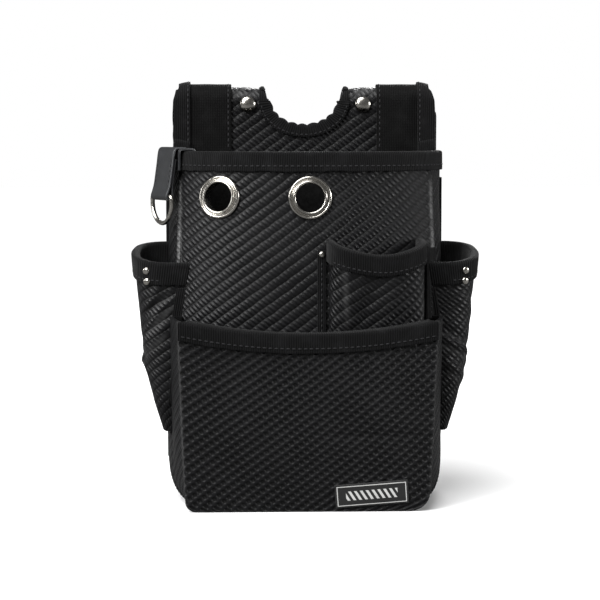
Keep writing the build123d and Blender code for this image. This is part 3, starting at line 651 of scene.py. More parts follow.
def polished(name):
    """Nickel plate with fine scratches and a little tarnish."""
    colours = bpy.context.scene.pouch_colours
    made = Finish(name)
    own = made.own()
    scratch = made.noise(own, 900.0, 3.0, 0.8)
    broad = made.noise(own, 120.0, 3.0)
    tone = made.mix(made.ramp(broad, 0.45, 0.8, 0.0, 0.5), tuple(colours.metal),
                    scaled(colours.metal, 0.72))
    made.set(Base_Color=tone, Metallic=1.0, Roughness=made.ramp(scratch, 0.3, 0.8, 0.17, 0.32))
    made.relief(scratch, 0.00002)
    return made


def smooth_leather(name):
    """Plain grained leather, rubbed paler at its edges."""
    colour = bpy.context.scene.pouch_colours.strap
    made = Finish(name)
    flat = made.flat()
    grain = made.noise(flat, 1.6, 5.0, 0.7)
    broad = made.noise(flat, 0.12, 3.0)
    tone = made.mix(made.ramp(grain, 0.3, 0.7), scaled(colour, 0.6), scaled(colour, 1.15))
    tone = made.mix(made.ramp(broad, 0.45, 0.75, 0.0, 0.5), tone, scaled(colour, 1.7))
    tone = made.mix(made.wear_and_highlight(), tone, scaled(colour, 2.6))
    made.set(Base_Color=tone, Roughness=made.ramp(grain, 0.3, 0.7, 0.48, 0.34))
    made.relief(grain, 0.00012)
    return made


def patch_cloth(name, width, height):
    """Woven label: a black ground, a pale border and a row of slanting bars."""
    made = Finish(name)
    flat = made.flat()
    split = made.tree.nodes.new("ShaderNodeSeparateXYZ")
    made.feed(split.inputs[0], flat)
    x = made.math("ABSOLUTE", made.math("SUBTRACT", split.outputs[0], width / 2))
    y = made.math("ABSOLUTE", made.math("SUBTRACT", split.outputs[1], height / 2))
    edge_x = made.math("SUBTRACT", width / 2, x)
    edge_y = made.math("SUBTRACT", height / 2, y)
    edge = made.math("MINIMUM", edge_x, edge_y)
    border = made.math("MULTIPLY", made.math("GREATER_THAN", edge, 1.3),
                       made.math("LESS_THAN", edge, 1.9))
    inside = made.math("MULTIPLY", made.math("LESS_THAN", x, 18.0), made.math("LESS_THAN", y, 3.4))
    bars = made.math("GREATER_THAN", made.wave(made.rows(flat, 3.6, 28)), 0.52)
    mark = made.math("MAXIMUM", border, made.math("MULTIPLY", inside, bars))
    weft = made.wave(made.rows(flat, 0.5, 90))
    warp = made.wave(made.rows(flat, 0.7, 0))
    thread = made.math("MULTIPLY_ADD", made.math("MULTIPLY", weft, warp), 0.6, 0.4)
    dark = made.mix(thread, (0.006, 0.006, 0.006), (0.02, 0.02, 0.02))
    pale = made.mix(thread, (0.55, 0.55, 0.54), (0.92, 0.92, 0.90))
    made.set(Base_Color=made.mix(mark, dark, pale), Roughness=0.7, Sheen_Weight=0.1)
    made.relief(made.math("ADD", thread, made.math("MULTIPLY", mark, 0.5)), 0.0001)
    return made


def sheet_board(name):
    """Matt fibre board, flecked, painted near black as shade for the pouch's inside."""
    made = Finish(name)
    own = made.own()
    fleck = made.noise(own, 500.0, 4.0, 0.7)
    broad = made.noise(own, 30.0, 3.0)
    # Painted shade: the board is coloured near black so the inside of the pouch reads dark.
    tone = made.mix(made.ramp(fleck, 0.35, 0.7), (0.002, 0.002, 0.002), (0.007, 0.007, 0.007))
    made.set(Base_Color=tone, Roughness=made.ramp(broad, 0.3, 0.7, 0.75, 0.9),
             Specular_IOR_Level=0.1)
    made.relief(fleck, 0.0001)
    return made


class MakeMaterials(bpy.types.Operator):
    """Makes every finish that the pieces use"""
    bl_idname = "pouch.materials"
    bl_label = "Materials"

    def execute(self, context):
        sizes = context.scene.pouch_sizes
        colours = context.scene.pouch_colours
        embossed("twill leather", twill_height)
        embossed("lattice leather", lattice_height)
        tape_pitch = sizes.tape_rib / MM
        woven("binding tape", tuple(colours.tape), tape_pitch, 0.8, 0.00032, 0.8, 0.06)
        woven("loop webbing", tuple(colours.webbing), 1.3, 1.9, 0.0003, 0.8, 0.03)
        woven("lining cloth", scaled(colours.tape, 0.9), 0.9, 0.9, 0.0001, 0.9, 0.03)
        # The thread is painted paler than the tape, a painted highlight along the stitched ridge; the real
        # stitches are black.
        woven("waxed thread", scaled(colours.tape, 3.0), 0.6, 0.6, 0.00005, 0.5, 0.05)
        polished("nickel plate")
        smooth_leather("strap leather")
        patch_cloth("label cloth", LABEL_WIDE, LABEL_HIGH)
        sheet_board("fibre board")
        return {"FINISHED"}


# Main pouch

def front_wall(u, v):
    """The front panel, from its left seam to its right one and from the floor up."""
    z = between(0.0, RIM, v)
    seam = wall_at_x(SEAM_X, round(z, 2))
    across = 2 * u - 1
    t = 1 - (1 - seam) * abs(across)
    plain = wall(t, z)
    side = -1 if across < 0 else 1
    point = wall(t, z, wall_relief(z, side * plain.x))
    if z < CORNER:
        point.x = min(point.x, corner_x(z))
    point.x *= side
    return point


def corner_x(z):
    """X of the rounded bottom corner at a height."""
    drop = CORNER - z
    return FLOOR_X + math.sqrt(max(0.0, CORNER * CORNER - drop * drop))


def fold_rub(across, z):
    """Wear and a painted highlight on the rolled folds beside the front seams."""
    length = step_up(LOWER_RIM - 20, LOWER_RIM + 10, z) * step_up(RIM - 12, RIM - 30, z)
    patchy = 0.6 + 0.5 * ripple(0.0, z, 9.0, 5.5)
    return 1.4 * length * bump_at(abs(across), SEAM_X + 1.2, 2.2) * patchy


def gusset_wall(side, u, v):
    """u runs from the front seam to the back."""
    arc = CORNER * math.pi / 2
    first = arc / (arc + RIM - CORNER)
    if v < first:
        turn = -math.pi / 2 * (1 - v / first)
        z = CORNER + CORNER * math.sin(turn)
        limit = FLOOR_X + CORNER * math.cos(turn)
    else:
        z = between(CORNER, RIM, (v - first) / (1 - first))
        limit = 1e9
    seam = wall_at_x(SEAM_X, round(z, 2))
    back = wall_at_y(round(INSIDE_Y, 2), round(z, 2))
    t = between(seam, back, u)
    plain = wall(t, z)
    distance = SEAM_X + (plain - wall(seam, z)).length
    point = wall(t, z, wall_relief(z, distance))
    point.x = min(point.x, limit)
    point.x *= side
    return point


def gusset_distance(u):
    """Rough distance round from the front seam."""
    return SEAM_X + u * 75.0


EYELET_MIDDLE = 1.8546      # from the middle of the bore out to the panel's face
EYELET_HOLE = 10.0
EYELET_BARREL = 11.0
EYELET_FLANGE = 15.2


def eyelet_mounts():
    """Middle of each eyelet on the panel's outer face, and the way it faces."""
    found = []
    for mount in frame["record"]["mounts"]:
        if mount["kind"] == "bore":
            pos = Vector(mount["pos_m"]) / MM
            axis = Vector(mount["axis"])
            middle = Vector((pos.x, pos.y - REAR, pos.z)) + axis * EYELET_MIDDLE
            found.append((middle, axis))
    return found


def open_holes(bm, places, radius):
    """Cuts round holes in a laid sheet and pulls their edges to the true circle."""
    for middle, axis in places:
        centre = spot(middle)
        reach = radius * MM

        def off(co):
            gone = co - centre
            return (gone - axis * gone.dot(axis)).length

        near = [f for f in bm.faces if (f.calc_center_median() - centre).length < 3 * reach]
        inside = [f for f in near if off(f.calc_center_median()) < reach]
        bmesh.ops.delete(bm, geom=inside, context="FACES")
        for v in bm.verts:
            if v.is_boundary and (v.co - centre).length < 2 * reach and off(v.co) < 1.35 * reach:
                gone = v.co - centre
                level = axis * gone.dot(axis)
                v.co = centre + level + (gone - level).normalized() * reach


class MakeMainPouch(bpy.types.Operator):
    """Makes the walls and floor of the main pouch"""
    bl_idname = "pouch.main_pouch"
    bl_label = "Main pouch"

    def execute(self, context):
        bm = bmesh.new()
        # Front panel and gussets: rubbed wear and a painted highlight along the rolled folds.
        lay(bm, 120, 130, front_wall,
            lambda u, v: fold_rub((2 * u - 1) * SEAM_X, v * RIM))
        open_holes(bm, eyelet_mounts(), EYELET_BARREL + 0.6)
        piece = finish_piece("front_panel_leather", bm, LINED,
                             replaces=["front_panel"], slot="twill_leather")
        give_wall(piece, LEATHER, lined=True)
        for word, side in SIDES:
            def place(u, v, side=side):
                return gusset_wall(side, u if side > 0 else 1 - u, v)

            def rub(u, v, side=side):
                return fold_rub(gusset_distance(u if side > 0 else 1 - u), v * RIM)

            sheet_piece(f"{word}_gusset_leather", 60, 120, place, LEATHER,
                        LINED, rub,
                        replaces=[f"{word}_gusset"], slot="twill_leather")

        def bottom(u, v):
            x = between(-FLOOR_X, FLOOR_X, u)
            return Vector((x, between(INSIDE_Y, front_y(x, 0.0), v), 0.0))

        sheet_piece("bottom_leather", 40, 24, bottom, LEATHER, LINED,
                    replaces=["bottom_panel"], slot="twill_leather")
        for node in ("back_board", "bottom_board"):
            board = frame["nodes"][node]
            board.data.materials.clear()
            board.data.materials.append(bpy.data.materials["fibre board"])
        return {"FINISHED"}


# Back panel, ears and belt loops

def loop_trail(offset, start=FOLD):
    """Side view of a belt loop's layer, out from the belt tunnel by an offset."""
    radius = TUNNEL / 2
    points = [(-offset, start)] if start < FOLD else []
    for i in range(17):
        turn = math.pi * (1 - i / 16)
        points.append((radius + (radius + offset) * math.cos(turn),
                       FOLD + (radius + offset) * math.sin(turn)))
    points += [(TUNNEL + offset, LOOP_BEND + 30), (TUNNEL + offset, LOOP_BEND),
               (GAP + offset, LOOP_SEAM), (GAP + offset, LOOP_END)]
    return Trail([Vector((0, y, z)) for y, z in points])


def back_columns():
    """X of the back panel's columns, closer at its corners and shoulders."""
    def spread(low, high, count):
        return [between(low, high, i / count) for i in range(count)]

    half = spread(0, NOTCH_HALF, 20) + spread(NOTCH_HALF, EAR, 34)
    half += [EAR] + spread(EAR + 0.01, BACK_HALF, 7) + [BACK_HALF]
    return [-x for x in reversed(half[1:])] + half


def back_top(x):
    """Top edge of the back panel: the notch, the ears' fold lines and the shoulders."""
    x = abs(x)
    if x < NOTCH_HALF:
        return NOTCH_MIDDLE - NOTCH_DEEP * math.sqrt(1 - (x / NOTCH_HALF) ** 2)
    if x <= EAR:
        return FOLD
    return between(RIM + 4, RIM - 4, (x - EAR) / (BACK_HALF - EAR))


def back_bottom(x):
    """Bottom edge of the back panel, with its rounded corners."""
    reach = abs(x) - (BACK_HALF - CORNER)
    return CORNER - math.sqrt(max(0.0, CORNER * CORNER - reach * reach)) if reach > 0 else 0.0


def pucker(x, z):
    """Creases in the ear leather where the dome rivet draws it in."""
    value = 0.0
    for dome in DOMES:
        away = math.hypot(x - dome, (z - DOME_Z) * 0.8)
        turn = math.atan2(z - DOME_Z, x - dome)
        ring = step_up(5.5, 8.0, away) * step_up(20.0, 9.0, away)
        value += 0.45 * ring * math.sin(6 * turn + 0.7)
    return value


DOME_Z = (low_mm("dome_rivets").z + high_mm("dome_rivets").z) / 2
DOME_RADIUS = (high_mm("dome_rivets").z - low_mm("dome_rivets").z) / 2
DOMES = (low_mm("dome_rivets").x + DOME_RADIUS, high_mm("dome_rivets").x - DOME_RADIUS)


def crumple(x, away):
    """Where an ear's leather creases between its dome rivet and its top fold."""
    return max(bump_at(x, dome, 8.5) for dome in DOMES) * bump_at(away, 8.0, 6.0)


def ear_start(side):
    """Flat distance of an ear's left edge from the back panel's left edge."""
    return BACK_HALF + (NOTCH_HALF if side > 0 else -EAR)


class MakeBack(bpy.types.Operator):
    """Makes the back panel with its ears turned over into belt loops"""
    bl_idname = "pouch.back"
    bl_label = "Back panel and ears"

    def execute(self, context):
        columns = back_columns()
        across = len(columns) - 1

        def column(u):
            where = min(max(u, 0.0) * across, across - 1e-6)
            i = int(where)
            return between(columns[i], columns[i + 1], where - i)

        def flat_back(u, v):
            x = column(u)
            z = between(back_bottom(x), back_top(x), v)
            loose = step_up(RIM + 2, RIM + 14, z) * step_up(FOLD, FOLD - 5, z)
            soft = 0.35 * ripple(x, z, 14.0, 2.0) * loose
            return Vector((x, -(max(0.0, soft) + pucker(x, z) * loose * 0.5), z))

        bm = bmesh.new()
        lay(bm, across, 110, flat_back, chart=lambda u, v: (
            column(u) + BACK_HALF, between(back_bottom(column(u)), back_top(column(u)), v)))
        ears = [i for i, x in enumerate(columns) if NOTCH_HALF - 1e-6 <= x <= EAR + 1e-6]
        trail = loop_trail(0.0)
        for side in (-1, 1):
            def ear(u, v, side=side):
                u = u if side > 0 else 1 - u
                where = min(max(u, 0.0) * (len(ears) - 1), len(ears) - 1 - 1e-6)
                i = int(where)
                x = between(columns[ears[i]], columns[ears[i + 1]], where - i)
                point = trail.at(v)
                middle = (NOTCH_HALF + EAR) / 2
                pull = (x - middle) / (EAR - middle)
                x -= pull * ear_round(point.z, pull < 0)
                crease = 0.8 * crumple(side * x, v * trail.length)
                out = loop_out(trail, v).normalized() * crease * ripple(x, v * 110, 4.5, 61.0)
                return Vector((side * x, point.y, point.z - ear_dip(x, point.z))) + out

            # Painted highlight, with some rubbed wear, on the ear leather creased above each dome rivet.
            def crease_highlight(u, v, side=side):
                x = side * (NOTCH_HALF + (EAR - NOTCH_HALF) * (u if side > 0 else 1 - u))
                patchy = max(0.0, 0.4 + ripple(x, v * 110, 3.0, 64.0))
                return 1.1 * crumple(x, v * trail.length) * patchy

            lay(bm, len(ears) - 1, 110, ear, crease_highlight, chart=lambda u, v, s=side: (
                ear_start(s) + u * (EAR - NOTCH_HALF), FOLD + v * trail.length))
        bmesh.ops.remove_doubles(bm, verts=bm.verts, dist=0.03 * MM)
        piece = finish_piece("back_leather", bm, ["twill leather", "twill leather"],
                             replaces=["back_panel", "left_belt_loop", "right_belt_loop"],
                             slot="twill_leather")
        give_wall(piece, LEATHER, offset=1.0)
        return {"FINISHED"}


class MakeWebbing(bpy.types.Operator):
    """Makes the webbing and edge tapes of the belt loops"""
    bl_idname = "pouch.webbing"
    bl_label = "Loop webbing and tapes"

    def execute(self, context):
        web_low = low_mm("right_loop_webbing").x
        foot = RIM - FOOT_BELOW_RIM
        edge_low = low_mm("right_loop_edge_tape").x
        inner_high = high_mm("right_inner_edge_tape").x
        web = loop_trail(LEATHER + GAP + WEB, foot)
        edge = LEATHER + WEB + TAPE + 2 * GAP
        edge_trails = [loop_trail(edge - fall, foot) for fall in (0.0, 0.4, 1.4, 3.4, 6.0, edge)]
        inner = LEATHER + GAP + TAPE
        inner_trails = [loop_trail(inner - fall) for fall in (0.0, 0.3, 1.2, 2.8, inner)]

        def wrapped(trails, flat_x, edge_x, swell, inner_side=False):
            """A tape that lies flat from flat_x and turns down round the edge at edge_x."""
            def place(u, v):
                turn_in = 0.72
                if u < turn_in:
                    x = between(flat_x, edge_x, u / turn_in)
                    trail, share, other = trails[0], 0, trails[0]
                else:
                    step = (u - turn_in) / (1 - turn_in) * (len(trails) - 1)
                    i = min(int(step), len(trails) - 2)
                    share = step - i
                    trail, other = trails[i], trails[i + 1]
                    out = math.sin(min(1.0, step) * math.pi / 2)
                    x = edge_x + math.copysign(0.5 * out, edge_x - flat_x)
                a, b = trail.at(v), other.at(v)
                point = a.lerp(b, share)
                toward = step_up(0.25, 1.0, u)
                wave = swell * ripple(v * 160, flat_x, 5.0, flat_x) * toward
                drawn = ear_round(point.z, inner_side) * toward
                x += math.copysign(drawn, flat_x - edge_x) + wave
                return Vector((x, point.y, point.z - ear_dip(x, point.z)))
            return place

        for word, side in SIDES:
            def strip(u, v, side=side):
                x = between(web_low, EAR, u)
                point = web.at(v)
                x -= step_up(0.4, 1.0, u) * ear_round(point.z)
                return Vector((side * x, point.y, point.z - ear_dip(x, point.z)))

            flip = side < 0
            sheet_piece(f"{word}_webbing", 20, 110, strip, WEB, ["loop webbing"], flip=flip,
                        replaces=[f"{word}_loop_webbing"], slot="webbing")
            outer = wrapped(edge_trails, edge_low, EAR, 0.5)
            tape_piece(f"{word}_edge_tape", 18, 120, lambda u, v, s=side: mirrored(outer(u, v), s),
                       [f"{word}_loop_edge_tape"], offset=-1.0, edge=0.5, flip=flip)
            inside = wrapped(inner_trails, inner_high, NOTCH_HALF, 0.7, True)
            tape_piece(f"{word}_inner_tape", 14, 120,
                       lambda u, v, s=side: mirrored(inside(u, v), s),
                       [f"{word}_inner_edge_tape"], offset=-1.0, edge=0.5, flip=not flip)
            for row, x in (("outer", edge_low + 1.4), ("inner", web_low + 2.2)):
                offset = edge if row == "outer" else LEATHER + GAP + WEB
                path = loop_trail(offset + 0.1, RIM + 3)
                stitch_row(f"{word}_{row}_loop_stitches",
                           lambda s, p=path, x=x, k=side: Vector(
                               (k * x, p.at(s).y, p.at(s).z - ear_dip(x, p.at(s).z))),
                           lambda s, p=path: loop_out(p, s))
        return {"FINISHED"}


def mirrored(point, side):
    """A point of the right side, on either side."""
    return Vector((point.x * side, point.y, point.z))


def ear_round(z, inner=False):
    """How far an ear's edge is drawn in beside its top fold."""
    start = TOP - (18.0 if inner else 16.0)
    if z < start:
        return 0.0
    depth = 6.5 if inner else 5.5
    share = min(1.0, (z - start) / (TOP - start))
    return depth * (1 - math.sqrt(max(0.0, 1 - share ** 2.2)))


def ear_dip(x, z):
    """How far the top fold of an ear sinks: at its two ends, and between its seams."""
    ends = bump_at(abs(x), EAR, 7.0) * 1.9 + bump_at(abs(x), NOTCH_HALF, 8.0) * 3.2
    soft = 0.9 * (0.5 + 0.5 * ripple(x, 0.0, 13.0, 33.0))
    return (ends + soft) * step_up(TOP - 26, TOP - 1, z)


def loop_out(path, share):
    """The way a loop's layer faces at a share of its length."""
    along = path.at(share + 0.01) - path.at(share - 0.01)
    return Vector((1, 0, 0)).cross(along)


class MakeNotchBinding(bpy.types.Operator):
    """Makes the gathered tape round the notch"""
    bl_idname = "pouch.notch_binding"
    bl_label = "Notch binding"

    def execute(self, context):
        gather = context.scene.pouch_sizes.gather / MM
        scallop_pitch = 7.6
        band = 7.0
        front = -LEATHER - CENTRE_LINE
        rear = CENTRE_LINE
        section = Trail([Vector((band, front, 0)), Vector((GAP, front, 0)),
                         Vector((-CENTRE_LINE, front, 0)), Vector((-CENTRE_LINE, rear, 0)),
                         Vector((GAP, rear, 0)), Vector((band, rear, 0))], rounds=2)
        rim = Trail([Vector((NOTCH_HALF * math.cos(a), 0, NOTCH_DEEP * math.sin(a)))
                     for a in [math.pi + math.pi * i / 80 for i in range(81)]])

        def place(u, v):
            on_rim = rim.at(u)
            turn = math.atan2(on_rim.z / NOTCH_DEEP, on_rim.x / NOTCH_HALF)
            cut = section.at(v)
            crest = bump_at(cut.x, -CENTRE_LINE, 3.5)
            s = u * rim.length
            scallop = abs(math.sin(s / scallop_pitch * math.pi + 1.2 * ripple(s, 0, 18.0, 1.0)))
            fold = math.sin(s / (scallop_pitch / 2) * math.pi + 2.0 * ripple(s, 0, 15.0, 6.0))
            grow = cut.x - gather * crest * (scallop - 0.35)
            away = -1 if cut.y < -LEATHER / 2 else 1
            y = cut.y + away * 0.22 * (fold + 0.6) * (1 - 0.5 * crest)
            x = (NOTCH_HALF + grow) * math.cos(turn)
            z = NOTCH_MIDDLE + (NOTCH_DEEP + grow) * math.sin(turn)
            return Vector((x, y, min(z, FOLD - GAP)))

        tape_piece("notch_tape", 160, 28, place, ["notch_binding"],
                   rub=lambda u, v: 0.10 * bump_at(v, 0.45, 0.12))

        def seam(share):
            on_rim = rim.at(0.03 + 0.94 * share)
            turn = math.atan2(on_rim.z / NOTCH_DEEP, on_rim.x / NOTCH_HALF)
            grow = band - 1.6
            return Vector(((NOTCH_HALF + grow) * math.cos(turn), front - TAPE / 2 - 0.15,
                           NOTCH_MIDDLE + (NOTCH_DEEP + grow) * math.sin(turn)))

        stitch_row("notch_stitches", seam, lambda s: (0, -1, 0), long=2.2, pitch=3.4)
        return {"FINISHED"}


# Bindings

def band_section(height, wall_thickness):
    """Side view of a tape folded over an edge: out from the outer face, and up from the edge."""
    inner = -wall_thickness - CENTRE_LINE
    return Trail([Vector((CENTRE_LINE, -height, 0)), Vector((CENTRE_LINE, -height * 0.4, 0)),
                  Vector((CENTRE_LINE, 0, 0)), Vector((CENTRE_LINE, CENTRE_LINE, 0)),
                  Vector((inner, CENTRE_LINE, 0)), Vector((inner, 0, 0)),
                  Vector((inner, -height, 0))], rounds=2)


def round_wall(share, z, out, end):
    """Round the main pouch from its left end to its right end."""
    across = 2 * share - 1
    t = 1 - (1 - end) * abs(across)
    point = wall(t, z, out)
    point.x *= -1 if across < 0 else 1
    return point


def rim_ends():
    """Share round the wall at which the main rim's tape ends."""
    return wall_at_y(round(LOOPS_CLEAR_Y, 2), RIM)


def tape_ripple(along, seed):
    """Small waves along a tape."""
    return 0.24 * ripple(along, 0, 4.0, seed) + 0.26 * ripple(along, 0, 19.0, seed + 4)


class MakeRimBinding(bpy.types.Operator):
    """Makes the stitched binding of the main rim and the folded ends of its tape"""
    bl_idname = "pouch.rim_binding"
    bl_label = "Main rim binding"

    def execute(self, context):
        band = RIM - low_mm("main_rim_binding").z
        section = band_section(band, LEATHER)
        end = rim_ends()
        length = 330

        def place(u, v):
            cut = section.at(v)
            lower = step_up(0, -band, cut.y)
            s = u * length
            rise = (0.6 * ripple(s, 0, 16.0, 2.0) + 0.35 * ripple(s, 0, 4.5, 7.0)) * lower
            out = cut.x + math.copysign(tape_ripple(s, 1.0 if cut.x > 0 else 9.0), cut.x)
            return round_wall(u, RIM + cut.y + rise, out, end)

        tape_piece("main_rim_tape", 260, 26, place, ["main_rim_binding"], flip=True)

        def seam(share):
            return round_wall(0.01 + 0.98 * share, RIM - 0.68 * band, BOUND + 0.12, end)

        def faces(share):
            return (round_wall(0.01 + 0.98 * share, RIM, 2.0, end)
                    - round_wall(0.01 + 0.98 * share, RIM, 0.0, end))

        stitch_row("main_rim_stitches", seam, faces)
        low = low_mm("rim_end_tabs").z
        high = high_mm("rim_end_tabs").z
        rear = high_mm("rim_end_tabs").y - TAPE / 2
        front = rear - TAPE
        fold = Trail([Vector((0, rear, low)), Vector((0, rear, high)),
                      Vector((0, front - 0.4, high + 0.6)), Vector((0, front - 0.5, low - 1.0)),
                      Vector((0, front, low - 3.0))], rounds=2)
        bm = bmesh.new()
        for side in (-1, 1):
            def tab(u, v, side=side):
                point = fold.at(v)
                tilt = (u - 0.5) * 2.4 * (0.4 + v)
                x = between(EAR - 11.5, EAR - 0.5, u) + 0.5 * ripple(v * 12, u, 4.0, side)
                y = point.y - 0.25 * ripple(u * 12, v * 12, 4.0, 3.3)
                return Vector((side * x, y, point.z + tilt))

            lay(bm, 14, 24, tab)
        piece = finish_piece("rim_tape_ends", bm, ["binding tape"], replaces=["rim_end_tabs"],
                             slot="binding_tape")
        give_wall(piece, TAPE - 0.2, offset=0.0, edge=0.3)
        return {"FINISHED"}


class MakeBackBindings(bpy.types.Operator):
    """Makes the tape down each rear edge of the main pouch"""
    bl_idname = "pouch.back_bindings"
    bl_label = "Back bindings"

    def execute(self, context):
        fold = 8.0
        for word, side in SIDES:
            low = low_mm(f"{word}_back_binding").z
            arc = CORNER * math.pi / 2

            def edge_at(v, grow):
                """The pouch's rear edge in X and Z, set out by grow, from the floor upwards."""
                total = arc + RIM - 18 - CORNER
                s = v * total
                if s < arc:
                    turn = -math.pi / 2 + (s / arc) * math.pi / 2
                    return (FLOOR_X - GAP + (CORNER + grow) * math.cos(turn),
                            CORNER + (CORNER + grow) * math.sin(turn))
                return BACK_HALF + grow, CORNER + s - arc

            section = Trail([Vector((-5.0, CENTRE_LINE, 0)), Vector((0.0, CENTRE_LINE, 0)),
                             Vector((CENTRE_LINE, CENTRE_LINE, 0)), Vector((CENTRE_LINE, 0, 0)),
                             Vector((CENTRE_LINE, -fold, 0))], rounds=2)

            def place(u, v, side=side):
                cut = section.at(u)
                v = 0.12 + 0.88 * v
                grow = cut.x
                if cut.x > 0.3:
                    grow += tape_ripple(v * 240, 7.0 + side) * 0.6
                x, z = edge_at(v, grow)
                if cut.y < 0 and z > CORNER:
                    x = max(x, side_x(cut.y, z) + CENTRE_LINE)
                if cut.x < 0 and z > CORNER:
                    x = max(x, EAR + GAP) if z > RIM - 50 else x
                return Vector((side * x, cut.y, max(z, low)))

            tape_piece(f"{word}_back_tape", 24, 150, place, [f"{word}_back_binding"],
                       flip=side > 0)
        return {"FINISHED"}


# Lower pouch

LOWER_OUT = Vector((0, -math.cos(LOWER_TILT), -math.sin(LOWER_TILT)))
LOWER_UP = Vector((0, -math.sin(LOWER_TILT), math.cos(LOWER_TILT)))
LOWER_ORIGIN = Vector((0, -LOWER_BASE_DEPTH, 0))
LOWER_CORNERS = {-1: 7.0, 1: 13.0}      # radius of each bottom corner of the front


def pillow(x, s):
    """How far the lower front bellies out, with the soft crease across its right half."""
    across = max(0.0, 1 - (x / LOWER_RIM_HALF) ** 2)
    up = max(0.0, math.sin(math.pi * min(1.0, max(0.0, s / LOWER_SLOPE))))
    tied = step_up(0, 14, s) * step_up(LOWER_SLOPE + 4, LOWER_SLOPE - 16, s)
    soft = slack() * 0.8 * tied * (ripple(x, s, 55.0, 21.0) + 0.25 * ripple(x, s, 18.0, 25.0))
    crease = -0.5 * bump_at(s, 55.0, 2.2) * step_up(0, 30, x) * step_up(LOWER_BASE_HALF, 70, x)
    return 2.2 * across ** 0.6 * up + soft + crease


def lower_point(x, s, out=0.0):
    """A point on the lower front: X, the way up its slope, and out from its face."""
    return LOWER_ORIGIN + Vector((x, 0, 0)) + LOWER_UP * s + LOWER_OUT * (out + pillow(x, s))


def lower_half(s, side):
    """Half width of the lower front at a distance up its slope."""
    radius = LOWER_CORNERS[side]
    half = between(LOWER_BASE_HALF, LOWER_RIM_HALF, s / LOWER_SLOPE)
    if s < radius:
        half -= radius - math.sqrt(max(0.0, radius * radius - (radius - s) ** 2))
    return half


def lower_top(x):
    """The lower front's dipped top edge, by the way up its slope."""
    return LOWER_SLOPE - LOWER_SAG * max(0.0, 1 - (x / LOWER_RIM_HALF) ** 2)


def lower_front(u, v):
    """The lower front, from its left edge to its right one and from the floor up."""
    across = 2 * u - 1
    side = -1 if across < 0 else 1
    warp = 0.3 * v + 0.7 * v * v
    guess = across * LOWER_RIM_HALF
    s = warp * lower_top(guess)
    x = across * lower_half(s, side)
    return lower_point(x, s)


def edge_length(half, radius, height):
    """Length of half an outline, from the floor strip round its corner to its top."""
    return half - radius - LOWER_STRIP_X + radius * math.pi / 2 + height - radius


def edge_line(half, radius, s):
    """Half outline of a lower pouch section by its length, from the floor out and up."""
    floor = half - radius - LOWER_STRIP_X
    arc = radius * math.pi / 2
    if s < floor:
        return LOWER_STRIP_X + s, 0.0
    if s < floor + arc:
        turn = (s - floor) / radius
        return half - radius + radius * math.sin(turn), radius - radius * math.cos(turn)
    return half, radius + (s - floor - arc)


def lower_side(side, u, v):
    """Side wall of the lower pouch: u from its front to the main pouch, v from the floor up."""
    radius = LOWER_CORNERS[side]
    front_length = edge_length(LOWER_BASE_HALF, radius, LOWER_SLOPE)
    rear_length = edge_length(LOWER_REAR_HALF, CORNER, LOWER_RIM)
    x, s = edge_line(LOWER_BASE_HALF, radius, v * front_length)
    x += (LOWER_RIM_HALF - LOWER_BASE_HALF) * s / LOWER_SLOPE if s > 0 else 0
    start = LOWER_ORIGIN + Vector((x - 0.3, 0, 0)) + LOWER_UP * s - LOWER_OUT * LEATHER
    rx, rz = edge_line(LOWER_REAR_HALF, CORNER, v * rear_length)
    end = Vector((rx, LOWER_REAR_Y, rz))
    last = lower_side_end(side, round(v, 4), start, end)
    turn_in = 0.82
    along = min(1.0, u / turn_in)
    point = start.lerp(end, along * last)
    if u > turn_in:
        seam = side_x(point.y, min(max(point.z, 0.0), RIM)) + GAP
        share = (u - turn_in) / (1 - turn_in)
        point.x = between(point.x, min(point.x, seam), share)
        point.y += 0.6 * math.sin(math.pi / 2 * share)
    puff = 1.4 * math.sin(math.pi * along) * step_up(0.15, 0.4, v)
    puff += 0.5 * ripple(u * 30, v * 150, 22.0, 30.0 + side) * math.sin(math.pi * along)
    return Vector((side * (point.x + puff), point.y, max(0.0, point.z)))


ENDS = {}


def lower_side_end(side, v, start, end):
    """Share of the way at which the side wall meets the main pouch or the side pocket."""
    key = (side, v)
    if key not in ENDS:
        stop = SIDE_FRONT - BOUND - GAP

        def clear(share):
            p = start.lerp(end, share)
            if p.y > stop:
                return -1
            z = min(max(p.z, 0.0), RIM)
            low = outline(round(z, 3))[3][1]
            if p.y <= low:
                return 1
            return p.x - side_x(p.y, z) - GAP

        ENDS[key] = solve(clear)
    return ENDS[key]


